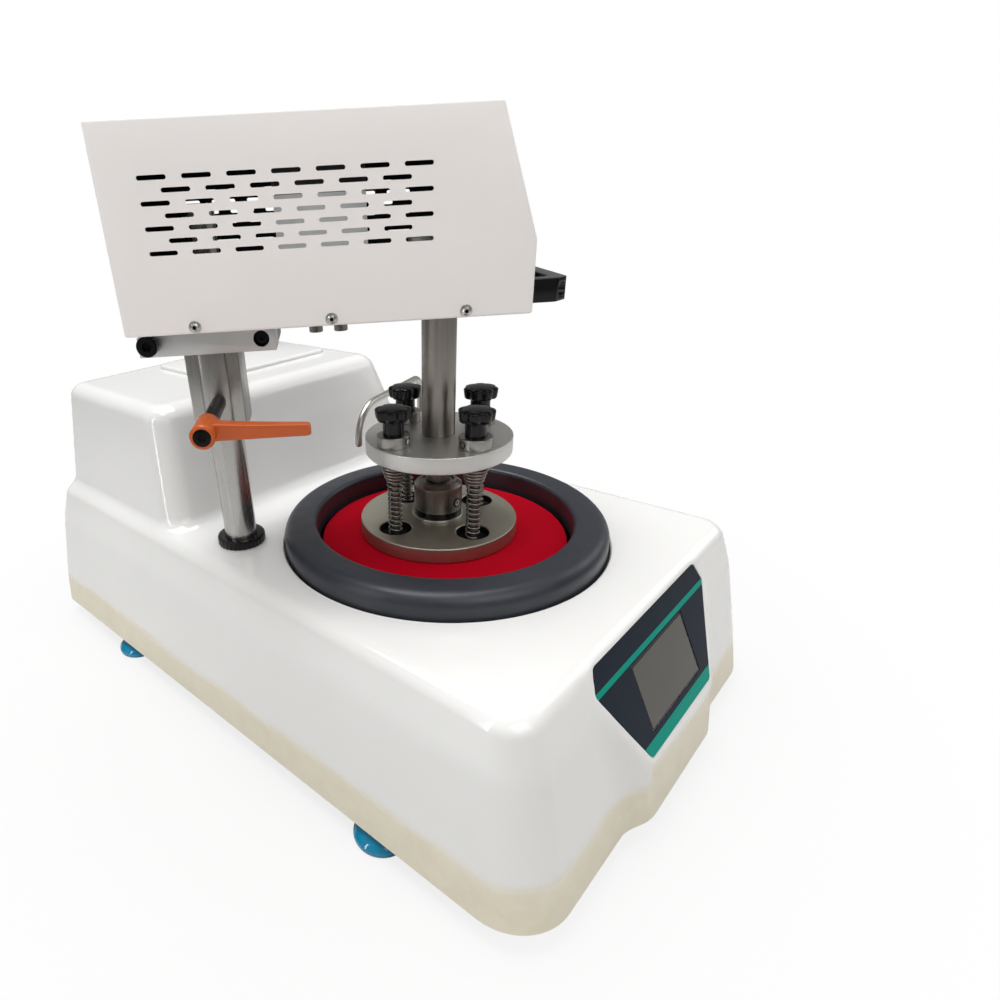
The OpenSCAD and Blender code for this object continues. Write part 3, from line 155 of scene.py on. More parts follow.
def position(nt):
    """X, Y and Z of the shaded point at rest, in metres, in the row's frame."""
    tc = add(nt, "ShaderNodeTexCoord")
    sep = add(nt, "ShaderNodeSeparateXYZ")
    nt.links.new(tc.outputs["Object"], sep.inputs[0])
    return sep.outputs


def noise(nt, vec, scale, detail=3.0, rough=0.5):
    n = add(nt, "ShaderNodeTexNoise", Scale=scale, Detail=detail, Roughness=rough)
    nt.links.new(vec, n.inputs["Vector"])
    return n.outputs["Fac"]


def remap(nt, fac, lo, hi, a=0.3, b=0.7):
    """Clamped ramp: a to b becomes lo to hi."""
    n = add(nt, "ShaderNodeMapRange", From_Min=a, From_Max=b, To_Min=lo, To_Max=hi)
    nt.links.new(fac, n.inputs["Value"])
    return n.outputs["Result"]


def calc(nt, operation, a, b=0.0):
    """Math node on two values, each a number or a socket."""
    n = add(nt, "ShaderNodeMath", operation=operation)
    for sock, v in zip(n.inputs, (a, b)):
        if isinstance(v, (int, float)):
            sock.default_value = v
        else:
            nt.links.new(v, sock)
    return n.outputs[0]


def mix(nt, fac, a, b):
    """Colour mix; each colour is three numbers or a socket."""
    n = add(nt, "ShaderNodeMix", data_type="RGBA")
    nt.links.new(fac, n.inputs[0])
    for sock, v in ((n.inputs[6], a), (n.inputs[7], b)):
        if isinstance(v, tuple):
            sock.default_value = v + (1,)
        else:
            nt.links.new(v, sock)
    return n.outputs[2]


def shade(c, k):
    return tuple(min(1.0, v * k) for v in c)


def bump(nt, bsdf, height, strength, distance):
    n = add(nt, "ShaderNodeBump", Strength=strength, Distance=distance)
    nt.links.new(height, n.inputs["Height"])
    nt.links.new(n.outputs["Normal"], bsdf.inputs["Normal"])


def plastic(name, color, rough, var, scale, grain=900, depth=0.00002, strength=0.3, coat=0.0, spec=0.5):
    """Moulded or painted surface: slightly cloudy colour and a fine grain in its relief."""
    m, nt, b = new_mat(name)
    vec = coords(nt)
    cloud = remap(nt, noise(nt, vec, scale), 0, 1)
    nt.links.new(mix(nt, cloud, shade(color, 1 - var), shade(color, 1 + var)), b.inputs["Base Color"])
    nt.links.new(remap(nt, noise(nt, vec, scale * 3), rough * 0.85, rough * 1.15), b.inputs["Roughness"])
    bump(nt, b, noise(nt, vec, grain, 2), strength, depth)
    put(b, Coat_Weight=coat, Specular_IOR_Level=spec)
    return m


def metal(name, color, rough, stretch, scale, var, depth=0.00001, strength=0.25):
    """Metal with a grain that stretch draws out, and a broad tone over it."""
    m, nt, b = new_mat(name)
    grain = noise(nt, coords(nt, stretch), scale, 4, 0.6)
    tone = noise(nt, coords(nt), 25, 3)
    base = mix(nt, remap(nt, grain, 0, 1), shade(color, 1 - var), shade(color, 1 + var))
    base = mix(nt, remap(nt, tone, 0, 0.5), base, shade(color, 0.85))
    nt.links.new(base, b.inputs["Base Color"])
    nt.links.new(remap(nt, grain, rough * 0.75, rough * 1.3), b.inputs["Roughness"])
    bump(nt, b, grain, strength, depth)
    put(b, Metallic=1.0)
    return m


def band_material():
    """White gel coat that turns to bare cream resin along the bottom edge, and higher up on the chin."""
    m, nt, b = new_mat("gel_coat")
    vec = coords(nt)
    x, y, z = position(nt)
    edge, soft, chin_lift = PLACE.z * MM - 0.111, 0.005, 0.016
    wave = remap(nt, noise(nt, vec, 9, 3), -0.005, 0.005)
    off_middle = calc(nt, "ABSOLUTE", calc(nt, "SUBTRACT", x, PLACE.x * MM))
    middle = remap(nt, off_middle, chin_lift, 0.0, 0.0605, 0.0635)
    front = remap(nt, y, 1, 0, (PLACE.y - 241.5) * MM, (PLACE.y - 238.5) * MM)
    level = calc(nt, "ADD", z, calc(nt, "SUBTRACT", wave, calc(nt, "MULTIPLY", middle, front)))
    fac = remap(nt, level, 1, 0, edge - soft, edge + soft)
    white = mix(nt, remap(nt, noise(nt, vec, 6), 0, 1), (0.80, 0.80, 0.79), (0.83, 0.83, 0.82))
    speck = remap(nt, noise(nt, vec, 60, 4, 0.7), 0, 1, 0.35, 0.75)
    cream = mix(nt, speck, (0.80, 0.745, 0.595), (0.74, 0.68, 0.53))
    nt.links.new(mix(nt, fac, white, cream), b.inputs["Base Color"])
    nt.links.new(remap(nt, fac, 0.12, 0.4, 0, 1), b.inputs["Roughness"])
    bump(nt, b, noise(nt, vec, 70, 2), 0.12, 0.00015)
    put(b, Coat_Weight=0.25, Coat_Roughness=0.06)
    return m


def felt_material():
    m, nt, b = new_mat("red_felt")
    vec = coords(nt)
    nap = noise(nt, vec, 1400, 3, 0.7)
    c = mix(nt, remap(nt, nap, 0, 1), (0.33, 0.0, 0.006), (0.52, 0.0, 0.016))
    c = mix(nt, remap(nt, noise(nt, vec, 30, 3), 0, 0.35), c, (0.38, 0.0, 0.009))
    nt.links.new(c, b.inputs["Base Color"])
    put(b, Roughness=0.95, Specular_IOR_Level=0.08)
    put(b, Sheen_Weight=0.12, Sheen_Roughness=0.4, Sheen_Tint=(1.0, 0.1, 0.1, 1))
    bump(nt, b, nap, 0.5, 0.0003)
    return m


def overlay_material():
    """Navy film with two teal bands across it, by distance down the slope."""
    m, nt, b = new_mat("panel_film")
    vec = coords(nt)
    up = PANEL.to_3x3() @ Vector((0, 1, 0))
    tc = add(nt, "ShaderNodeTexCoord")
    dot = add(nt, "ShaderNodeVectorMath", operation="DOT_PRODUCT")
    dot.inputs[1].default_value = up
    nt.links.new(tc.outputs["Object"], dot.inputs[0])
    height = dot.outputs["Value"]
    top = up.dot(PANEL.translation + PLACE) * MM

    def band(t0, t1):
        below = calc(nt, "LESS_THAN", height, top - t0 * MM)
        return calc(nt, "MULTIPLY", below, calc(nt, "GREATER_THAN", height, top - t1 * MM))

    navy = mix(nt, remap(nt, noise(nt, vec, 500, 2), 0, 1), (0.013, 0.019, 0.031), (0.014, 0.020, 0.033))
    teal = (0.0, 0.28, 0.212)
    c = mix(nt, band(17, 21.5), navy, teal)
    c = mix(nt, band(81.5, 99), c, teal)
    nt.links.new(c, b.inputs["Base Color"])
    nt.links.new(remap(nt, noise(nt, vec, 40, 2), 0.30, 0.34), b.inputs["Roughness"])
    put(b, Specular_IOR_Level=0.05)
    return m


def motor_material():
    """Pale painted motor with a dark end cap above; it also glows faintly in these colours, a painted light that
    shows it in the shade inside the casing.
    """
    m, nt, b = new_mat("motor_paint_and_glow")
    cap_z = PLACE.z * MM + 0.2940
    cap = remap(nt, position(nt)["Z"], 0, 1, cap_z, cap_z + 0.0006)
    paint = mix(nt, remap(nt, noise(nt, coords(nt), 40), 0, 1), (0.50, 0.50, 0.50), (0.56, 0.56, 0.56))
    c = mix(nt, cap, paint, (0.012, 0.012, 0.012))
    nt.links.new(c, b.inputs["Base Color"])
    # the motor glows in its own colours: painted light, for it is no lamp
    nt.links.new(c, b.inputs["Emission Color"])
    put(b, Emission_Strength=0.45, Roughness=0.5)
    return m


M = {"shell": band_material(), "felt": felt_material(), "film": overlay_material(), "motor": motor_material()}
# name, colour, roughness, colour change and its scale, grain with its depth and strength, coat, specular
for key, *look in (
    ("white", "gel_coat_lid", (0.82, 0.82, 0.81), 0.14, 0.015, 6, 70, 0.00015, 0.1, 0.25),
    ("ring", "ring_slate", (0.025, 0.028, 0.038), 0.40, 0.10, 20, 1500, 0.00003, 0.35),
    ("glass", "display_glass", (0.095, 0.090, 0.080), 0.2, 0.02, 12, 300, 0.000001, 0.02, 0.0, 0.2),
    # real black display bezel, also used as painted shade at the spout's bore and around the grub screws
    ("bezel", "display_bezel", (0.008, 0.009, 0.011), 0.3, 0.1, 40, 900, 0.00002, 0.3, 0.0, 0.3),
    ("black", "black_plastic", (0.0045, 0.0045, 0.005), 0.13, 0.1, 60, 1500, 0.000002, 0.05, 0.0, 0.26),
    ("black_matt", "black_rubber", (0.008, 0.008, 0.008), 0.7, 0.2, 60, 900, 0.00002, 0.3, 0.0, 0.15),
    # near-black stand-in for shade: painted shade in screw sockets and inside the casing
    ("inside", "bare_inside", (0.012, 0.012, 0.012), 0.7, 0.1, 60, 900, 0.00002, 0.3, 0.0, 0.1),
    ("cover", "powder_coat", (0.93, 0.895, 0.878), 0.45, 0.01, 12, 1300, 0.00003, 0.2),
    ("orange", "orange_grip", (0.52, 0.09, 0.010), 0.24, 0.03, 10, 1200, 0.000004, 0.1),
    ("blue", "blue_foot", (0.0, 0.22, 0.40), 0.12, 0.1, 40, 600, 0.00002, 0.1, 0.6),
    ("nylon", "nylon", (0.80, 0.80, 0.74), 0.4, 0.03, 40),
    ("grey", "grey_plastic", (0.07, 0.07, 0.075), 0.45, 0.1, 40),
    ("offwhite", "nozzle_white", (0.78, 0.78, 0.74), 0.3, 0.03, 40),
    ("cast", "painted_casting", (0.22, 0.225, 0.23), 0.5, 0.08, 60, 500, 0.00010, 0.5),
    ("rubber", "belt_rubber", (0.015, 0.015, 0.015), 0.7, 0.2, 60),
    ("bowl", "bowl_plastic", (0.014, 0.014, 0.016), 0.45, 0.05, 30),
):
    M[key] = plastic(*look)
# name, colour, roughness, the grain's stretch, scale and colour change, its depth and strength
for key, *look in (
    ("black_steel", "black_steel", (0.016, 0.016, 0.017), 0.30, (1, 1, 1), 200, 0.1, 0.000002, 0.05),
    ("steel", "column_steel", (0.47, 0.46, 0.445), 0.26, (1, 1, 0.02), 330, 0.10, 0.000001, 0.03),
    ("turned", "turned_steel", (0.29, 0.27, 0.245), 0.36, (1, 1, 0.02), 420, 0.18, 0.000001, 0.04),
    ("collar", "collar_steel", (0.34, 0.33, 0.31), 0.30, (1, 1, 30), 200, 0.03, 0.0000005, 0.02),
    ("satin", "satin_pipe", (0.58, 0.56, 0.53), 0.34, (1, 1, 1), 300, 0.05, 0.000001, 0.05),
    ("spring", "spring_steel", (0.30, 0.285, 0.26), 0.40, (1, 1, 1), 700, 0.2),
    ("steel_dark", "coupling_steel", (0.27, 0.255, 0.23), 0.34, (1, 1, 30), 200, 0.04, 0.0000005, 0.02),
    ("brushed", "brushed_block", (0.38, 0.37, 0.355), 0.34, (40, 40, 1), 60, 0.10, 0.000002, 0.10),
    ("disc", "satin_disc", (0.70, 0.69, 0.67), 0.42, (1, 1, 6), 900, 0.04, 0.000002, 0.1),
    ("holder", "holder_bronze", (0.44, 0.42, 0.35), 0.45, (1, 1, 4), 900, 0.05, 0.000002, 0.1),
    ("clamp", "machined_grey", (0.60, 0.595, 0.585), 0.42, (1, 1, 12), 400, 0.06),
    ("clamp_dark", "cast_grey", (0.30, 0.30, 0.30), 0.5, (1, 1, 1), 300, 0.10),
    ("zinc", "zinc_plate", (0.42, 0.43, 0.44), 0.45, (1, 1, 1), 60, 0.1),
    ("alu", "aluminium", (0.62, 0.62, 0.61), 0.35, (1, 1, 8), 500, 0.08),
    ("screw", "screw_steel", (0.60, 0.59, 0.57), 0.24, (1, 1, 1), 60, 0.03, 0.0000005, 0.02),
):
    M[key] = metal(*look)


# Mesh helpers
def make(name, verts, faces, mat, matrix=ONE, angle=32):
    """Mesh object from points in millimetres, given in a local frame."""
    me = bpy.data.meshes.new(name)
    m = np.array(AT @ matrix)
    v = np.asarray(verts, float) @ m[:3, :3].T + m[:3, 3]
    me.from_pydata((v * MM).tolist(), [], [tuple(f) for f in faces])
    me.validate()
    bm = bmesh.new()
    bm.from_mesh(me)
    bmesh.ops.remove_doubles(bm, verts=bm.verts, dist=1e-6)
    bmesh.ops.recalc_face_normals(bm, faces=bm.faces)
    return finish_mesh(bm, me, mat, angle)


def finish_mesh(bm, me, mat, angle=32):
    """Object of the mesh being edited, with its material and smooth shading."""
    bm.to_mesh(me)
    bm.free()
    me.materials.append(mat)
    ob = show(me.name, me)
    soften(ob, angle)
    return ob


def soften(ob, angle=32):
    """Smooth shading that keeps the edges above the angle sharp."""
    me = ob.data
    me.polygons.foreach_set("use_smooth", [True] * len(me.polygons))
    me.set_sharp_from_angle(angle=math.radians(angle))
    me.update()


def arc_corner(pts, closed=True, seg=5):
    """Polyline with its corners rounded: each point is (x, y) or (x, y, radius)."""
    out = []
    n = len(pts)
    for i, p in enumerate(pts):
        r = p[2] if len(p) > 2 else 0
        if r <= 0 or (not closed and i in (0, n - 1)):
            out.append((p[0], p[1]))
            continue
        a = Vector(pts[i - 1][:2]) - Vector(p[:2])
        b = Vector(pts[(i + 1) % n][:2]) - Vector(p[:2])
        la, lb = a.length, b.length
        a.normalize()
        b.normalize()
        half = math.acos(max(-1, min(1, a.dot(b)))) / 2
        t = min(r / math.tan(half), la * 0.49, lb * 0.49)
        r = t * math.tan(half)
        c = Vector(p[:2]) + (a + b).normalized() * (r / math.sin(half))
        s = Vector(p[:2]) + a * t - c
        e = Vector(p[:2]) + b * t - c
        a0 = math.atan2(s.y, s.x)
        a1 = math.atan2(e.y, e.x)
        d = (a1 - a0 + math.pi) % (2 * math.pi) - math.pi
        for k in range(seg + 1):
            w = a0 + d * k / seg
            out.append((c.x + r * math.cos(w), c.y + r * math.sin(w)))
    return out


def circle(r, n=48):
    return [(r * math.cos(2 * math.pi * k / n), r * math.sin(2 * math.pi * k / n)) for k in range(n)]


def rect(x0, x1, y0, y1, r=0, seg=5):
    return arc_corner([(x0, y0, r), (x1, y0, r), (x1, y1, r), (x0, y1, r)], True, seg)


def wall(rows, seg, closed=False):
    """Quads between rings of seg points each."""
    faces = []
    for i in range(rows if closed else rows - 1):
        j = (i + 1) % rows
        for k in range(seg):
            k2 = (k + 1) % seg
            faces.append([i * seg + k, i * seg + k2, j * seg + k2, j * seg + k])
    return faces


def caps(rows, seg):
    """The two end faces of such rings."""
    return [list(range(seg)), [(rows - 1) * seg + k for k in range(seg)]]


def lathe(name, profile, mat, matrix=ONE, seg=96, closed=False, arcs=5):
    """Turned piece: profile points are (radius, height[, corner radius])."""
    pts = arc_corner(profile, closed, arcs)
    verts = [(x, y, z) for r, z in pts for x, y in circle(r, seg)]
    return make(name, verts, wall(len(pts), seg, closed), mat, matrix)


def outline_solid(name, outline, z0, z1, mat, matrix=ONE, holes=(), edge=0.0, segs=2):
    """Prism on a flat outline, with holes, and its edges softened."""
    bm = bmesh.new()
    edges = []
    for loop in [outline, *holes]:
        vs = [bm.verts.new((x, y, z0)) for x, y in loop]
        for i in range(len(vs)):
            edges.append(bm.edges.new((vs[i], vs[(i + 1) % len(vs)])))
    bmesh.ops.triangle_fill(bm, use_beauty=True, use_dissolve=True, edges=edges)
    res = bmesh.ops.extrude_face_region(bm, geom=list(bm.faces))
    top = [v for v in res["geom"] if isinstance(v, bmesh.types.BMVert)]
    bmesh.ops.translate(bm, verts=top, vec=(0, 0, z1 - z0))
    bmesh.ops.recalc_face_normals(bm, faces=bm.faces)
    if edge > 0:
        rim = [e for e in bm.edges if len(e.link_faces) == 2 and e.calc_face_angle(0) > 0.9
               and abs(e.verts[0].co.z - e.verts[1].co.z) < 1e-6]
        bmesh.ops.bevel(bm, geom=rim, offset=edge, segments=segs, profile=0.5, affect="EDGES", clamp_overlap=True)
    bmesh.ops.transform(bm, matrix=Matrix.Scale(MM, 4) @ AT @ matrix, verts=bm.verts)
    return finish_mesh(bm, bpy.data.meshes.new(name), mat)


def tube(name, path, radius, mat, matrix=ONE, sides=12):
    """Round tube along points; radius is one number or one per point."""
    p = np.asarray(path, float)
    n = len(p)
    rad = np.full(n, radius, float) if np.isscalar(radius) else np.asarray(radius, float)
    t = np.zeros_like(p)
    t[1:-1] = p[2:] - p[:-2]
    t[0], t[-1] = p[1] - p[0], p[-1] - p[-2]
    t /= np.linalg.norm(t, axis=1)[:, None]
    e = np.cross(t[0], (0, 0, 1.0))
    if np.linalg.norm(e) < 1e-3:
        e = np.array((1.0, 0, 0))
    verts = []
    for i in range(n):
        e = e - t[i] * np.dot(e, t[i])
        e /= np.linalg.norm(e)
        f = np.cross(t[i], e)
        for k in range(sides):
            w = 2 * math.pi * k / sides
            verts.append(p[i] + rad[i] * (math.cos(w) * e + math.sin(w) * f))
    return make(name, verts, wall(n, sides) + caps(n, sides), mat, matrix, 50)


def bake(ob):
    """Applies a piece's modifiers."""
    bpy.context.view_layer.update()
    dg = bpy.context.evaluated_depsgraph_get()
    me = bpy.data.meshes.new_from_object(ob.evaluated_get(dg))
    ob.modifiers.clear()
    ob.data = me
    soften(ob)


def carve(ob, cutters, solver="EXACT"):
    """Cuts the cutters out of a piece and deletes them."""
    for c in cutters:
        md = ob.modifiers.new("cut", "BOOLEAN")
        md.operation = "DIFFERENCE"
        md.object = c
        md.solver = solver
        if solver == "EXACT":
            md.material_mode = "TRANSFER"
    bake(ob)
    for c in cutters:
        bpy.data.objects.remove(c)


def merge(name, *obs):
    """Joins pieces into one mesh object, keeping their materials."""
    bm = bmesh.new()
    mats = []
    for o in obs:
        for m in o.data.materials:
            if m not in mats:
                mats.append(m)
    for o in obs:
        me = o.data
        index = [mats.index(m) for m in me.materials]
        start = len(bm.faces)
        bm.from_mesh(me)
        bm.faces.ensure_lookup_table()
        for f in bm.faces[start:]:
            f.material_index = index[f.material_index] if f.material_index < len(index) else 0
    me = bpy.data.meshes.new(name)
    bm.to_mesh(me)
    bm.free()
    for m in mats:
        me.materials.append(m)
    for o in obs:
        bpy.data.objects.remove(o)
    return show(name, me)


def bevel(ob, width, segments, angle):
    """Rounds the edges above the angle."""
    md = ob.modifiers.new("bevel", "BEVEL")
    md.width = width * MM
    md.segments = segments
    md.limit_method = "ANGLE"
    md.angle_limit = math.radians(angle)
    bake(ob)


def place(ob, body, slot, *nodes):
    """Hands a piece to its body and hides the CAD nodes that it stands for; the slot argument is not used."""
    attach(ob, body)
    if nodes:
        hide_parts(*nodes)
    return ob


def dress(node, mat):
    """Gives a carried-over CAD node a better material."""
    ob = NODES[node]
    if not ob.material_slots:
        ob.data.materials.append(mat)
    for s in ob.material_slots:
        s.material = mat


def socket_screw(name, r, h, matrix, mat, key=0.5, deep=0.6, chamfer=0.12):
    """Cap screw head; its hexagon socket is near-black, painted shade in the recess; z points out of the head."""
    seg, per = 24, 4
    rings = ((r, 0), (r, h * (1 - chamfer)), (r * (1 - chamfer), h))
    verts = [(x, y, z) for rr, z in rings for x, y in circle(rr, seg)]
    verts += [(x, y, z) for z in (h, h * (1 - deep)) for x, y in circle(r * key, 6)]
    faces = wall(3, seg)
    rim, base = 2 * seg, 3 * seg
    for s in range(6):
        s2 = (s + 1) % 6
        for k in range(per):
            a = rim + (s * per + k) % seg
            b = rim + (s * per + k + 1) % seg
            if k == per // 2:
                faces.append([a, b, base + s2, base + s])
            else:
                faces.append([a, b, base + (s if k < per // 2 else s2)])
        faces.append([base + s, base + s2, base + 6 + s2, base + 6 + s])
    faces.append([base + 6 + s for s in range(6)])
    # the socket's faces take the near-black material: painted shade in the recess
    dark = [i for i, f in enumerate(faces) if min(f) >= base]
    faces.append(list(range(seg)))
    ob = make(name, verts, faces, mat, matrix, 25)
    ob.data.materials.append(M["inside"])
    if len(ob.data.polygons) == len(faces):
        for i in dark:
            ob.data.polygons[i].material_index = 1
    return ob


# Housing: an implicit solid of soft planes, meshed on a grid and pulled onto its surface
def rmax(a, b, r):
    """Cut of two fields, with its edge rounded by r."""
    return np.minimum(np.maximum(a, b), -r) + np.hypot(np.maximum(a + r, 0), np.maximum(b + r, 0))


def rmin(a, b, r):
    """Union of two fields, with its seam filled by r."""
    return -rmax(-a, -b, r)


def soft_line(zs, vs, width):
    """Values along z, straight between the given ones, with their bends smoothed over the width."""
    z = np.arange(-230.0, 200.0, 1.0)
    z0, z1 = zs[0], zs[-1]
    v = np.interp(z, zs, vs)
    lo = (vs[1] - vs[0]) / (zs[1] - zs[0])
    hi = (vs[-1] - vs[-2]) / (zs[-1] - zs[-2])
    v = np.where(z < z0, vs[0] + (z - z0) * lo, v)
    v = np.where(z > z1, vs[-1] + (z - z1) * hi, v)
    k = np.hanning(2 * width + 1)
    k /= k.sum()
    before = v[:1] + np.arange(-width, 0) * (v[1] - v[0])
    after = v[-1:] + np.arange(1, width + 1) * (v[-1] - v[-2])
    v = np.convolve(np.concatenate([before, v, after]), k, "valid")
    return lambda q: np.interp(q, z, v)


LEVELS = [SKIRT_Z, -116, -36, 0]
half_w = soft_line(LEVELS, [215, 211.9, 196, 183], 14)
front_y = soft_line(LEVELS, [238, 233, 212, 198.5], 14)
corner_r = soft_line(LEVELS, [45, 45, 33, 22], 20)


def body_field(x, y, z):
    """Drafted body with round corners; those on the right grow rounder downwards."""
    hx, yf = half_w(z), front_y(z)
    r = corner_r(z) * (1 + 0.38 * np.clip(-z / 116, 0, 1) * (x > 0))
    beyond = REAR_Y + 100
    qx = np.abs(x) - (hx - r)
    qy = np.abs(y - (beyond - yf) / 2) - ((beyond + yf) / 2 - r)
    side = np.hypot(np.maximum(qx, 0), np.maximum(qy, 0)) + np.minimum(np.maximum(qx, qy), 0) - r
    return rmax(side, z, 10.0)


def hood_field(x, y, z):
    """Rear hood: its front and sides lean in as they rise."""
    k = z / HOOD_Z
    hx = 172 - 22 * k
    lean = math.hypot(1, 22 / HOOD_Z)
    yf = 202 + 36 * k + (x + 172) / 344 * (-18 + 6 * k)
    f = rmax((yf - y) / math.hypot(1, 0.34), (-x - hx) / lean, 24.0)
    f = rmax(f, (x - hx - 8) / lean, 20.0)
    f = rmax(f, z - HOOD_Z, 14.0)
    return np.maximum(f, -40 - z)


def plane(a, b, c, ref):
    """Plane through three points, as normal and offset, with ref on its negative side."""
    a, b, c, ref = (np.array(v, float) for v in (a, b, c, ref))
    n = np.cross(b - a, c - a)
    n /= np.linalg.norm(n)
    if np.dot(n, ref - a) > 0:
        n = -n
    return n, -np.dot(n, a)


def panel_pt(x, t):
    """Point on the panel's plane, t down its slope."""
    return tuple(PANEL @ Vector((x, -t, 0)))


CHIN_IN = (0, -150, -80)
CHIN_PLANES = [
    plane(panel_pt(-50, 0), panel_pt(50, 0), panel_pt(0, 90), CHIN_IN),
    plane((62, -248.5, SKIRT_Z), (-62, -248.5, SKIRT_Z), panel_pt(0, 96), CHIN_IN),
]
for sgn in (-1, 1):
    low, join = (sgn * 62, -248.5, SKIRT_Z), (sgn * 87, -238, SKIRT_Z)
    corner, wide = panel_pt(sgn * 63, 96), panel_pt(sgn * 104.5, 18)
    CHIN_PLANES.append(plane(low, join, corner, CHIN_IN))
    CHIN_PLANES.append(plane(corner, join, wide, CHIN_IN))


def chin_field(x, y, z):
    """Chin under the panel, closed above by a plane that slants down from the deck."""
    f = None
    for n, d in CHIN_PLANES:
        g = n[0] * x + n[1] * y + n[2] * z + d
        f = g if f is None else rmax(f, g, 3.0)
    f = rmax(f, 0.82 * (z + 4) + 0.57 * (y + 197), 3.0)
    f = np.maximum(f, y + 150)
    return np.maximum(f, np.abs(x) - 112)


def panel_cut(x, y, z):
    """Positive in the soft-edged opening that the overlay lies in."""
    dy, dz = y - PANEL.translation.y, z - PANEL.translation.z
    v = dy * math.cos(PANEL_TILT) + dz * math.sin(PANEL_TILT)
    w = dz * math.cos(PANEL_TILT) - dy * math.sin(PANEL_TILT)
    u = np.abs(x)
    d = rmax(v, 0.932 * u + 0.3625 * v - 86.68, 5.0)
    d = rmax(d, 0.8747 * u - 0.4846 * v - 96.19, 5.0)
    d = rmax(d, -v - 92, 6.0)
    return np.minimum((1.2 + 0.9 * w - d) / 1.345, w - 0.1)


def shell_field(x, y, z):
    f = rmin(body_field(x, y, z), hood_field(x, y, z), 10.0)
    soft = np.interp(z, [SKIRT_Z, -80, -40, -8], [3.5, 6.0, 6.0, 1.2])
    f = rmin(f, chin_field(x, y, z), soft)
    f = rmax(f, panel_cut(x, y, z), 2.5)
    return rmax(f, y - REAR_Y, 11.0)


def net(field, lo, hi, step):
    """Surface net of a field's zero level, with its points moved onto the surface."""
    ax = [np.arange(lo[i], hi[i] + step, step) for i in range(3)]
    X, Y, Z = np.meshgrid(*ax, indexing="ij")
    F = field(X, Y, Z)
    S = F < 0
    # one point a cell: the mean of where the surface crosses the cell's edges
    n = np.array(F.shape) - 1
    total = np.zeros(tuple(n) + (3,))
    count = np.zeros(tuple(n))
    base = np.stack(np.meshgrid(*[np.arange(k) for k in n], indexing="ij"), -1).astype(float)
    corners = [(i, j, k) for i in (0, 1) for j in (0, 1) for k in (0, 1)]
    for a in corners:
        for axis in range(3):
            if a[axis]:
                continue
            b = list(a)
            b[axis] = 1
            fa = F[a[0]:a[0] + n[0], a[1]:a[1] + n[1], a[2]:a[2] + n[2]]
            fb = F[b[0]:b[0] + n[0], b[1]:b[1] + n[1], b[2]:b[2] + n[2]]
            cross = (fa < 0) != (fb < 0)
            t = np.where(cross, fa / np.where(cross, fa - fb, 1), 0)
            for c in range(3):
                off = a[c] + (t if c == axis else 0)
                total[..., c] += np.where(cross, off, 0)
            count += cross
    used = count > 0
    index = -np.ones(tuple(n), int)
    index[used] = np.arange(used.sum())
    pts = (base[used] + total[used] / count[used][:, None]) * step + np.array(lo)
    # a few steps along the gradient pull the points onto the surface
    h = 0.4
    for _ in range(5):
        f0 = field(*pts.T)
        g = np.stack([(field(*(pts + h * np.eye(3)[c]).T) - field(*(pts - h * np.eye(3)[c]).T)) / (2 * h)
                      for c in range(3)], -1)
        step_v = (f0 / np.maximum((g * g).sum(1), 0.2))[:, None] * g
        ln = np.linalg.norm(step_v, axis=1)[:, None]
        pts = pts - step_v * np.minimum(1, step / 2 / np.maximum(ln, 1e-9))
    # one quad for each grid edge that the surface crosses
    faces = []
    for axis in range(3):
        o = [c for c in range(3) if c != axis]
        sl0 = [slice(None)] * 3
        sl1 = [slice(None)] * 3
        sl0[axis] = slice(0, -1)
        sl1[axis] = slice(1, None)
        cross = S[tuple(sl0)] != S[tuple(sl1)]
        ijk = np.argwhere(cross)
        ok = np.ones(len(ijk), bool)
        for c in o:
            ok &= (ijk[:, c] > 0) & (ijk[:, c] < n[c])
        ijk = ijk[ok]
        flip = S[tuple(sl0)][tuple(ijk.T)]
        cells = []
        for du, dv in ((0, 0), (-1, 0), (-1, -1), (0, -1)):
            q = ijk.copy()
            q[:, o[0]] += du
            q[:, o[1]] += dv
            cells.append(index[tuple(q.T)])
        quad = np.stack(cells, -1)
        if axis == 1:
            flip = ~flip
        quad[~flip] = quad[~flip][:, ::-1]
        faces.append(quad)
    return pts, np.concatenate(faces)


def skin(offset, step):
    """Surface at a depth below the outside, open along the bottom edge."""
    lo, hi = (-226, -262, -168), (226, 442, 126)
    pts, faces = net(lambda x, y, z: shell_field(x, y, z) + offset, lo, hi, step)
    me = bpy.data.meshes.new("skin")
    me.from_pydata(((pts + np.array(PLACE)) * MM).tolist(), [], faces.tolist())
    bm = bmesh.new()
    bm.from_mesh(me)
    bpy.data.meshes.remove(me)
    bmesh.ops.bisect_plane(bm, geom=list(bm.verts) + list(bm.edges) + list(bm.faces), dist=1e-7,
                           plane_co=(0, 0, PLACE.z * MM + SKIRT_Z * MM), plane_no=(0, 0, -1), clear_outer=True)
    return bm


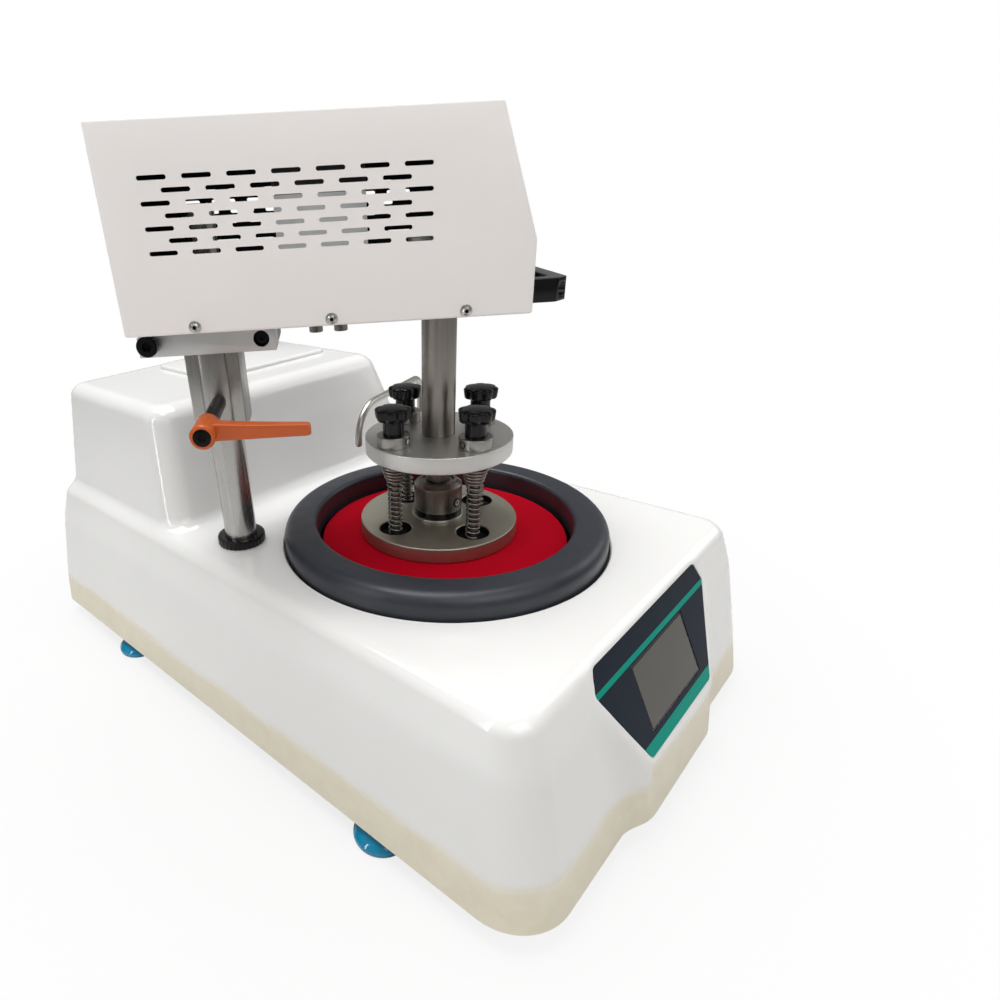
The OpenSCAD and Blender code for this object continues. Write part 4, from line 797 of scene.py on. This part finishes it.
def make_shell():
    """Moulded housing: outer and inner skin joined along the bottom edge, then its openings cut."""
    outer = skin(0.0, 3.2)
    inner = skin(4.0, 8.0)
    me_in = bpy.data.meshes.new("inner")
    inner.to_mesh(me_in)
    inner.free()
    outer.from_mesh(me_in)
    bpy.data.meshes.remove(me_in)
    rim = [e for e in outer.edges if len(e.link_faces) == 1]
    bmesh.ops.triangle_fill(outer, use_beauty=False, use_dissolve=False, edges=rim)
    bmesh.ops.recalc_face_normals(outer, faces=outer.faces)
    me = bpy.data.meshes.new("housing")
    outer.to_mesh(me)
    outer.free()
    me.materials.append(M["shell"])
    ob = show("housing", me)
    deep, over, well = -14, 6, 152.7
    edge = [(well, -1.2), (well + 1.6, 0.6)]
    cutters = [
        lathe("c", [(0, deep), (well, deep), *edge, (well + 1.6, over), (0, over)], M["shell"], seg=180),
        lathe("c", [(0, deep), (15.3, deep), (15.3, over), (0, over)], M["shell"], COL, 48),
        lathe("c", [(0, deep), (7.3, deep), (7.3, over), (0, over)], M["shell"], SPOUT, 32),
        outline_solid("c", panel_shape(0.5, 5.5), -1.3, 30, M["shell"], PANEL),
        outline_solid("c", rect(-47.8, 47.8, -77.6, -23.2), deep, 8, M["shell"], PANEL),
    ]
    for shape, x, z in ((circle(16.4, 40), 120, -112), (circle(13.6, 40), 60, -60),
                        (rect(-13.8, 13.8, -24.3, 24.3), -110, -75)):
        cutters.append(outline_solid("c", shape, deep, 14, M["shell"], face_y(move(x, REAR_Y, z))))
    carve(ob, cutters, "MANIFOLD")
    place(ob, "base", "shell_white", "shell")


def panel_shape(rim, r):
    """Outline of the panel's overlay, grown by rim."""
    pts = [(-93 - rim, rim, r), (93 + rim, rim, r), (100 + rim, -18, r), (59 + rim, -92 - rim, r + 1),
           (-59 - rim, -92 - rim, r + 1), (-100 - rim, -18, r)]
    return arc_corner(pts, True, 6)


make_shell()


def make_panel():
    film = outline_solid("panel_film", panel_shape(0.0, 5.0), -1.3, -0.35, M["film"], PANEL,
                         [rect(-47.7, 47.7, -77.5, -23.3)], 0.15, 1)
    place(film, "base", "overlay_navy", "panel_overlay")
    bezel = outline_solid("a", rect(-47.4, 47.4, -77.2, -23.6), -6, -1.1, M["bezel"], PANEL, (), 0.2, 1)
    glass = outline_solid("b", rect(-45.9, 45.9, -75.9, -25.6, 0.5), -1.2, -0.75, M["glass"], PANEL, (), 0.15, 1)
    place(merge("display", bezel, glass), "base", "screen_grey", "touch_screen")


make_panel()


# Deck furniture
def make_base():
    lid = outline_solid("hood_lid", rect(-46, 134, 289, 407, 14, 8), 113.5, 119.6, M["white"], ONE, (), 4.5, 5)
    place(lid, "base", "shell_white", "service_lid")
    ring = lathe("splash_guard", [
        (119.5, -4), (119.5, 20.3, 4.5), (150.8, 20.3, 14.5), (150.8, -4), (147.6, -4), (147.6, 17.0, 11),
        (122.6, 17.0, 1.5), (122.6, -4)], M["ring"], seg=180, closed=True, arcs=9)
    place(ring, "base", "ring_slate", "splash_ring")
    cloth = lathe("cloth_disc", [(0, -1.5), (115, -1.5), (115, 0, 0.5), (0, 0)], M["felt"], seg=180)
    place(cloth, "platen", "cloth_red", "cloth")
    for i, (x, y) in enumerate(((-197, -93), (197, -93), (197, 285), (-197, 285))):
        foot = lathe("levelling_foot_%d" % (i + 1), [
            (0, 0), (22.6, 0, 1), (23.6, 2.6, 2), (23.4, 5.4, 2), (20.5, 8.6, 4), (14, 11.8, 5),
            (9, 13.4, 1.5), (9, 18), (4, 18), (4, 31, 0.6), (0, 31)],
            M["blue"], move(x, y, BENCH_Z), 64)
        place(foot, "base", "foot_blue", "foot_%d" % (i + 1))
    teeth = []
    for x, y in circle(22.0, 180):
        k = 1 + 0.028 * (0.5 + 0.5 * math.cos(30 * math.atan2(y, x)))
        teeth.append((x * k, y * k))
    collar = outline_solid("column_ring_nut", teeth, 0, 8, M["black"], COL, [circle(15.05, 48)], 0.9, 2)
    place(collar, "base", "black_plastic", "column_collar")
    pole = lathe("column_pole", [
        (12, -142), (32, -142, 1), (32, -134, 1), (15, -134), (15, 291, 0.5), (14, 292), (12, 292)],
        M["steel"], COL, 64, True)
    place(pole, "base", "stainless", "column_tube")


make_base()


def make_spout():
    at = SPOUT @ turn(math.atan2(-32, -141))
    bend = np.radians(np.arange(9, 91, 9))
    path = [(0, 0, -26), (0, 0, 20), (0, 0, 60), (0, 0, 82)]
    path += [(16 - 16 * math.cos(w), 0, 82 + 16 * math.sin(w)) for w in bend]
    path += [(40, 0, 98), (75, 0, 98), (109.6, 0, 98)]
    path += [(109.6 + 35 * math.sin(w), 0, 63 + 35 * math.cos(w)) for w in bend]
    path += [(144.6, 0, 61), (144.6, 0, 60), (144.6, 0, 59.2)]
    rad = [3.8] * (len(path) - 3) + [3.75, 3.6, 3.1]
    pipe = tube("spout_pipe", path, rad, M["satin"], at, 20)
    # black disc on the pipe's end: painted shade standing for the dark bore
    nose = lathe("nose", [(0, -0.6), (2.5, -0.6), (2.5, 0.05), (0, 0.05)], M["bezel"],
                 at @ move(144.6, 0, 59.2), 20)
    ring = lathe("ring", [(3.7, 12.3), (7, 12.3, 0.8), (7, 18.3, 0.8), (3.7, 18.3)], M["turned"], at, 40)
    place(merge("spout_pipe", pipe, nose, ring), "spout", "stainless", "water_spout")
    hexa = outline_solid("h", circle(12, 6), 0, 9, M["turned"], at, [circle(3.9, 32)], 0.8, 2)
    cap = lathe("c", [(3.86, 9), (9.6, 9), (9.6, 12, 1), (3.86, 12)], M["turned"], at, 48)
    stem = lathe("s", [(3.86, -16), (7, -16), (7, 0), (3.86, 0)], M["turned"], at, 32, True)
    place(merge("spout_union", hexa, cap, stem), "base", "stainless", "spout_nut")


make_spout()


# Specimen head
def star_knob(name, matrix):
    """Lobed knob: straight stem, tall fluted head and a low dome."""
    seg, lobes = 126, 7
    # radius, height and how deep the flutes are there
    prof = [(9.25, 0, 0), (9.25, 11.4, 0), (9.6, 12.2, 0.1), (12.4, 12.6, 0.6), (14.2, 13.2, 0.95),
            (15.0, 14.4, 1), (15.5, 18, 1), (15.8, 21, 1), (15.6, 22, 0.95), (14.8, 22.7, 0.8),
            (12.5, 23.4, 0.45), (8.5, 24.0, 0.12), (4, 24.4, 0), (0, 24.5, 0)]
    verts, faces = [], []
    for r, z, lobe in prof:
        for k in range(seg):
            w = 2 * math.pi * k / seg
            dip = (0.5 - 0.5 * math.cos(lobes * w)) ** 2.2
            rr = r * (1 + 0.01 * lobe) - 2.3 * lobe * dip
            verts.append((rr * math.cos(w), rr * math.sin(w), z))
    return make(name, verts, wall(len(prof), seg) + [list(range(seg))], M["black"], matrix, 44)


def coil_path():
    """Wire of a plunger's spring: a cone that narrows downwards, then a slim coil."""
    per, cone, coil = 28, 5, 11
    wide, slim, tail = 11.2, 6.4, 5.8
    z_cone, z_coil, z_foot = 79.0, 62.4, 10.1
    pts = [(wide, 0, DISC_LOW), (wide, 0, DISC_LOW - 1)]
    for i in range(1, cone * per + 1):
        u = i / (cone * per)
        w = 2 * math.pi * i / per
        r = wide - (wide - slim) * u ** 1.25
        pts.append((r * math.cos(w), r * math.sin(w), z_cone - (z_cone - z_coil) * u))
    for i in range(1, coil * per + 1):
        u = i / (coil * per)
        w = 2 * math.pi * (cone * per + i) / per
        r = slim - (slim - tail) * min(1, u * 6)
        pts.append((r * math.cos(w), r * math.sin(w), z_coil - (z_coil - z_foot) * u))
    return pts


def make_discs():
    holder = lathe("specimen_holder", [(0, 0.4), (74.2, 0.4, 1.2), (74.2, HOLDER_TOP, 1.2), (0, HOLDER_TOP)],
                   M["holder"], SPIN, 128)
    bore = [(0, -2), (15, -2), (15, 13.8), (15.7, 14.5), (15.7, 20), (0, 20)]
    carve(holder, [lathe("c", bore, M["holder"], m, 48) for m in PLUNGERS])
    liner = [(14.6, 0.9), (14.98, 0.9), (14.98, 13.5), (14.6, 13.5)]
    liners = [lathe("l", liner, M["black_matt"], m, 48, True) for m in PLUNGERS]
    place(merge("specimen_holder", holder, *liners), "spindle", "holder_bronze", "holder_disc")
    disc = lathe("upper_plate", [(0, DISC_LOW), (66.9, DISC_LOW, 1), (66.9, DISC_TOP, 1), (0, DISC_TOP)],
                 M["disc"], SPIN, 128)
    bore = [(0, 70), (4.05, 70), (4.05, 110), (0, 110)]
    carve(disc, [lathe("c", bore, M["disc"], m, 24) for m in PLUNGERS])
    place(disc, "spindle", "aluminium", "upper_disc")
    pole = lathe("spindle_pole", [(0, DISC_TOP), (15, DISC_TOP, 0.4), (15, 258, 0.4), (0, 258)],
                 M["turned"], SPIN, 64)
    place(pole, "spindle", "stainless", "spindle_tube")


def make_coupling():
    """Cup with a groove and a flange at its foot, and a neck with grub screws above."""
    cup = lathe("cup", [
        (0, HOLDER_TOP), (21.0, HOLDER_TOP), (21.0, 22.8), (22.6, 22.8, 0.5), (22.6, 46.6, 0.8),
        (17.4, 50.6, 0.6), (15.2, 50.6), (15.2, 49.2), (11, 49.2), (11, DISC_LOW), (0, DISC_LOW)],
        M["steel_dark"], SPIN, 96)
    flange = lathe("flange", [(20.9, HOLDER_TOP), (24.4, HOLDER_TOP, 0.6), (24.4, 17.4, 0.8), (20.9, 17.4)],
                   M["satin"], SPIN, 96)
    # black ring filling the groove: painted shade in the recess
    groove = lathe("groove", [(20.9, 17.5), (22.3, 17.6, 0.6), (22.3, 22.5, 0.6), (20.9, 22.6)],
                   M["black"], SPIN, 72)
    parts = [cup, flange, groove]
    for deg in (-60, 30, 120, 210):
        side = face_x(SPIN @ turn(math.radians(deg)) @ move(13.4, 0, 63))
        parts.append(socket_screw("s", 2.6, 3.0, side, M["screw"]))
    parts.append(lathe("neck", [(11, 58.5), (13.4, 58.5, 0.5), (13.4, 68, 0.5), (11, 68)],
                       M["steel_dark"], SPIN, 64, True))
    place(merge("drive_coupling", *parts), "spindle", "stainless", "coupling")
    side = face_x(SPIN @ turn(HEAD_ANGLE - math.radians(48)) @ move(22.3, 0, 32))
    # black ring around the grub screw: painted shade of the hole's edge
    rim = lathe("r", [(3.2, 0), (4.6, 0), (4.6, 0.75, 0.3), (3.2, 0.75)], M["bezel"], side, 32)
    grub = merge("coupling_grub", rim, socket_screw("g", 3.3, 0.7, side, M["screw"], 0.45, 0.9))
    place(grub, "spindle", "stainless")


def make_plungers():
    """Four plungers: knob, collar with its grub screw, spring, and rod with its pad."""
    collar_mid, collar_top = 100.5, 105.5
    grub_turn = (280, 165, 20, 100)
    wire = coil_path()
    # the wire thins over the half turn above the slim coil
    gauge = [0.95 + 0.45 * min(1.0, max(0.0, (146 - i) / 14)) for i in range(len(wire))]
    for i, m in enumerate(PLUNGERS):
        k = i + 1
        knob = star_knob("star_knob_%d" % k, m @ move(0, 0, 105.8))
        place(knob, "plunger_%d" % k, "black_plastic", "knob_%d" % k)
        ring = lathe("stop_collar_%d" % k, [
            (4.1, DISC_TOP), (14.5, DISC_TOP, 0.7), (14.5, collar_top, 0.7), (4.1, collar_top)],
            M["collar"], m, 64, True)
        side = face_x(m @ move(0, 0, collar_mid) @ turn(math.radians(grub_turn[i]) - HOLES[i]) @ move(14.1, 0, 0))
        # black ring around the grub screw: painted shade of the hole's edge
        rim = lathe("r", [(2.2, 0), (3.3, 0), (3.3, 0.5, 0.2), (2.2, 0.5)], M["bezel"], side, 24)
        grub = socket_screw("g", 2.3, 0.45, side, M["screw"], 0.45, 0.9)
        place(merge("stop_collar_%d" % k, ring, rim, grub), "spindle", "stainless", "collar_%d" % k)
        spring = tube("spring_wire_%d" % k, wire, gauge, M["spring"], m, 10)
        place(spring, "spindle", "spring_steel", "spring_%d" % k)
        # the height of the spring's upper end is worked out, but nothing uses it; the spring then gets a mesh of
        # its own
        level = [(spring.matrix_world @ v.co).z for v in spring.data.vertices]
        fixed = Vector(m.translation + PLACE) * MM
        fixed.z = max(level)
        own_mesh(spring)
        rod = lathe("r", [(0, 8.6), (4, 8.6), (4, 123), (0, 123)], M["turned"], m, 32)
        pad = lathe("p", [
            (0, 5.4), (12.6, 5.4, 0.8), (13.4, 6.4, 0.5), (13.4, 8.9, 0.8), (4, 8.9), (4, 9), (0, 9)],
            M["black_matt"], m, 48)
        place(merge("plunger_rod_%d" % k, rod, pad), "plunger_%d" % k, "stainless", "rod_%d" % k)


make_discs()
make_coupling()
make_plungers()


# Column clamp
def make_clamp():
    bush = lathe("guide_bush", [
        (15.05, 113.7), (20.05, 113.7, 0.8), (20.05, 117.7, 0.6), (18.55, 117.7), (18.55, 205.8), (15.05, 205.8)],
        M["nylon"], COL, 64, True)
    place(bush, "carriage", "bush_nylon", "column_bush")
    nose = [(11.4 * math.sin(w), -21.6 - 3.0 * math.cos(w)) for w in np.radians(np.arange(-90, 91, 10))]
    out = arc_corner([(-22, -21.6, 1.2), *nose, (22, -21.6, 1.2), (22, 22, 1.2), (-22, 22, 1.2)], True, 3)
    sleeve = outline_solid("clamp_body", out, 118, 186.1, M["brushed"], HEAD, [circle(18.6, 64)], 0.4, 2)
    slits = [outline_solid("c", shape, 117, 187, M["brushed"], HEAD) for shape in (
        rect(-12.4, -11.7, -23, -20.9), rect(11.9, 12.6, -23, -20.9), rect(21.2, 23, -6, -5.2))]
    carve(sleeve, slits)
    place(sleeve, "head", "clamp_steel", "clamp_sleeve")
    back = outline_solid("rear_bar", arc_corner([(-52, -9.1), (55, -9.1), (55, 40, 6), (-52, 40, 6)], True, 5),
                         BAR_LOW, BAR_TOP, M["clamp_dark"], HEAD, [circle(18.6, 64)], 0.8, 2)
    place(back, "head", "clamp_steel", "clamp_block")
    bolt_z = 195.6
    side = face_y(HEAD @ move(0, -9, 0))
    shape = [(-52, BAR_LOW), (55, BAR_LOW), (55, BAR_TOP), (-47, BAR_TOP), (-52, BAR_TOP - 5)]
    bar = outline_solid("front_bar", shape, 0, 31, M["clamp"], side, (), 0.5, 2)
    hole = lathe("c", [(0, 180), (18.6, 180), (18.6, 210), (0, 210)], M["clamp"], HEAD, 64)
    sink = lathe("c", [(0, 25), (6.25, 25), (6.25, 40), (0, 40)], M["black_steel"],
                 side @ move(44, bolt_z, 0), 40)
    carve(bar, [hole, sink])
    bolt = socket_screw("b", 8, 8, side @ move(-43.5, bolt_z, 31), M["black_steel"], 0.5, 0.55, 0.1)
    sunk = socket_screw("b2", 5.4, 1.6, side @ move(44, bolt_z, 25), M["black_steel"], 0.5, 0.9, 0.1)
    place(merge("front_bar", bar, bolt, sunk), "head", "clamp_steel", "clamp_bar")
    axis = face_y(HEAD @ move(2, 0, 144))
    stud = lathe("lever_spindle", [
        (0, 24.5), (5.2, 24.5), (5.2, 30, 0.5), (6, 31, 0.6), (6, 85.5, 0.8), (4, 87.7), (0, 87.7)],
        M["black_steel"], axis, 40)
    place(stud, "head", "black_plastic", "lever_stud")
    hub = lathe("hub", [
        (0, 88), (8.0, 88), (9.25, 89.2, 1), (9.25, 118.6, 1.2), (8.0, 120, 0.5),
        (6.6, 120), (6.6, 117.6), (0, 117.6)],
        M["orange"], axis, 56)
    screw = socket_screw("screw", 6.4, 2.6, axis @ move(0, 0, 117.6), M["black_steel"], 0.5, 0.75, 0.08)
    arm = arm_mesh(axis)
    place(merge("orange_lever", hub, arm, screw), "lever", "lever_orange", "clamp_lever")


def arm_mesh(axis):
    """Tapering arm: rounded sections along the lever, in the lever axis' frame."""
    # distance along the arm, depth of the middle, height, thickness and drop
    stations = [(5.5, 104, 13.4, 13.5, 0.0), (10, 104, 12.8, 12.6, 0.1), (20, 105.5, 11.8, 11.4, 0.3),
                (40, 107.2, 10.4, 10.0, 0.7), (60, 108.4, 9.2, 8.8, 1.1), (73, 109, 8.6, 8.2, 1.4),
                (76, 109, 7.9, 7.5, 1.45), (77, 109, 5.6, 5.2, 1.5)]
    seg, squareness = 40, 2 / 11.0
    verts = []
    for x, depth, h, t, drop in stations:
        for c, s in circle(1, seg):
            y = math.copysign(abs(s) ** squareness, s) * h / 2 - drop
            z = depth + math.copysign(abs(c) ** squareness, c) * t / 2
            verts.append((x, y, z))
    n = len(stations)
    return make("arm", verts, wall(n, seg) + caps(n, seg), M["orange"], axis, 40)


make_clamp()


# Head casing
def make_casing():
    """Folded casing with its slots and screws."""
    width, gauge = 130, 1.5
    side = face_y(HEAD @ move(0, 65, 206))
    out = [(-53.5, 0), (250, 0), (250, 51), (222, 137), (-53.5, 137)]
    cover = outline_solid("casing", out, 0, width, M["cover"], side)
    bevel(cover, 2.2, 3, 20)
    out = [(-52, -5), (248.5, -5), (248.5, 50.7), (220.8, 135.5), (-52, 135.5)]
    # its near-black material passes to the casing's inner faces: painted shade inside the casing
    inner = outline_solid("c", out, gauge, width - gauge, M["inside"], side)
    bevel(inner, 0.9, 1, 20)
    bottom = outline_solid("c", rect(-60, 260, -30, 0), -5, 135, M["cover"], side)
    carve(cover, [inner, bottom])
    half, r = 8.5, 1.5
    end = [(half + r * math.cos(w), r * math.sin(w)) for w in np.radians(np.arange(-90, 91, 30))]
    slot = end + [(-x, -z) for x, z in end]
    slots = []
    for j in range(7):
        odd = j % 2
        for i in range(7 - odd):
            cx, cz = -14.7 + i * 30 + odd * 15, 102.5 - 7.8 * j
            slots.append(outline_solid("s", [(cx + x, cz + z) for x, z in slot], -2, 132, M["cover"], side))
    cut = merge("c", *slots)
    carve(cover, [cut])
    place(cover, "head", "cover_white", "head_cover")
    screws = []
    for s in (-1, 99.5, 199.5):
        for face, flip in ((width, 0), (0, math.pi)):
            m = side @ move(s, 5, face) @ turn(flip, "X")
            w = lathe("w", [(0, 0), (4.6, 0), (4.6, 0.7, 0.3), (0, 0.7)], M["screw"], m, 32)
            h = socket_screw("h", 3.1, 2.4, m @ move(0, 0, 0.7), M["screw"], 0.5, 0.6, 0.3)
            screws += [w, h]
    place(merge("casing_screws", *screws), "head", "stainless")


def make_handle():
    """Bridge handle with its two bolts."""
    top = HEAD @ move(250, 0, 212)
    outer = arc_corner([(0, -55), (20, -55, 5), (31, -44, 5), (31, 44, 5), (20, 55, 5), (0, 55)], True, 4)
    gap = arc_corner([
        (-0.01, -41), (13.5, -41, 4), (19, -35.5, 4), (19, 35.5, 4), (13.5, 41, 4), (-0.01, 41)], True, 4)
    grip = outline_solid("grip", outer, 0, 17, M["black"], top)
    cutters = [outline_solid("c", [(x if x > 0 else -3, y) for x, y in gap], -3, 20, M["black"], top)]
    bolts = [face_x(top @ move(0, y, 8.5)) for y in (-48, 48)]
    sink = [(0, -2), (2.8, -2), (2.8, 19.5), (5.0, 19.5), (5.0, 40), (0, 40)]
    cutters += [lathe("c", sink, M["black"], m, 32) for m in bolts]
    carve(grip, cutters)
    bevel(grip, 1.6, 3, 40)
    heads = [socket_screw("b", 4.2, 4, m @ move(0, 0, 17.0), M["black_steel"]) for m in bolts]
    place(merge("bridge_grip", grip, *heads), "head", "black_plastic", "handle")


def make_fittings():
    """Two knurled fittings under the casing."""
    teeth = 56
    knurl = [(x * r, y * r) for (x, y), r in zip(circle(1, teeth), (4.9, 5.5) * (teeth // 2))]
    fits = []
    for x in (87, 107):
        m = HEAD @ move(x, -22, BAR_TOP)
        fits.append(lathe("n", [(0, -3), (4, -3), (4, 0), (0, 0)], M["screw"], m, 24))
        fits.append(outline_solid("k", knurl, -11, -3, M["turned"], m, (), 0.4, 1))
    place(merge("knurled_fittings", *fits), "head", "stainless", "head_fittings")


make_casing()
make_handle()
make_fittings()

# CAD nodes that are kept, and their materials
for node, key in (
    ("base_plate", "zinc"), ("bowl", "bowl"), ("bearing_housing", "cast"), ("drive_motor", "cast"),
    ("drive_belt", "rubber"), ("drain_spigot", "grey"), ("water_inlet", "offwhite"), ("power_inlet", "black"),
    ("rocker_switch", "black"), ("platen_disc", "alu"), ("platen_shaft", "turned"), ("drive_pulley", "alu"),
    ("motor_pulley", "turned"), ("head_chassis", "zinc"), ("head_motor", "motor"), ("spindle_housing", "alu"),
):
    dress(node, M[key])


# Studio
def mix_shaders(nt, fac, a, b, output):
    """Mixes two shaders into a node tree's output."""
    mx = add(nt, "ShaderNodeMixShader")
    for v, sock in zip((fac, a.outputs[0], b.outputs[0]), mx.inputs):
        nt.links.new(v, sock)
    nt.links.new(mx.outputs[0], nt.nodes[output].inputs["Surface"])


def make_floor():
    """Pale floor on the bench top, which the camera sees fade to white away from the machine."""
    m, nt, b = new_mat("floor")
    put(b, Base_Color=(0.66, 0.66, 0.655, 1), Roughness=0.9, Specular_IOR_Level=0.1)
    white = add(nt, "ShaderNodeEmission", Strength=1.0, Color=(1, 1, 1, 1))
    tc = add(nt, "ShaderNodeTexCoord")
    ln = add(nt, "ShaderNodeVectorMath", operation="LENGTH")
    nt.links.new(tc.outputs["Object"], ln.inputs[0])
    far = remap(nt, ln.outputs["Value"], 0.80, 1, 0.30, 0.60)
    seen = add(nt, "ShaderNodeLightPath").outputs["Is Camera Ray"]
    mix_shaders(nt, calc(nt, "MULTIPLY", far, seen), b, white, "Material Output")
    me = bpy.data.meshes.new("floor")
    s = 8.0
    me.from_pydata([(-s, -s, 0), (s, -s, 0), (s, s, 0), (-s, s, 0)], [], [(0, 1, 2, 3)])
    me.materials.append(m)
    ob = show("floor", me)


def make_world():
    """Room with two dark cards for the metal to mirror; the camera sees plain white."""
    w = bpy.data.worlds.new("studio")
    scene.world = w
    w.use_nodes = True
    nt = w.node_tree
    tc = add(nt, "ShaderNodeTexCoord")

    def card(direction, lo, hi, dark):
        dp = add(nt, "ShaderNodeVectorMath", operation="DOT_PRODUCT")
        dp.inputs[1].default_value = Vector(direction).normalized()
        nt.links.new(tc.outputs["Generated"], dp.inputs[0])
        return remap(nt, dp.outputs["Value"], 1, dark, lo, hi)

    level = calc(nt, "MULTIPLY", card((0.71, -0.70, 0.05), 0.86, 0.97, 0.05),
                 card((-0.35, 0.93, 0.1), 0.80, 0.95, 0.25))
    room = put(nt.nodes["Background"], Strength=0.265)
    nt.links.new(mix(nt, level, (0.03, 0.028, 0.026), (1.0, 0.985, 0.965)), room.inputs["Color"])
    plain = add(nt, "ShaderNodeBackground", Color=(1, 1, 1, 1), Strength=1.0)
    seen = add(nt, "ShaderNodeLightPath").outputs["Is Camera Ray"]
    mix_shaders(nt, seen, room, plain, "World Output")


def make_lights():
    white, warm = (1, 1, 1), (1.0, 0.985, 0.965)
    for name, place_, aim, size, power, color in (
        ("key", (-0.55, -1.8, 1.9), 0.2, (1.8, 1.4), 17, warm),
        ("fill", (1.9, -1.1, 1.3), 0.15, (1.2, 1.2), 7, white),
        ("top", (0.0, 0.45, 2.6), 0.15, (1.8, 1.8), 67, white),
        ("strip", (-1.6, 0.3, 0.9), 0.15, (0.10, 1.4), 5, white),
    ):
        light = bpy.data.lights.new(name, "AREA")
        light.shape = "RECTANGLE"
        light.size, light.size_y = size
        light.energy = power
        light.color = color
        ob = show(name, light)
        ob.location = place_
        ob.rotation_euler = (Vector((0, 0, aim)) - Vector(place_)).to_track_quat("-Z", "Y").to_euler()


make_floor()
make_world()
make_lights()
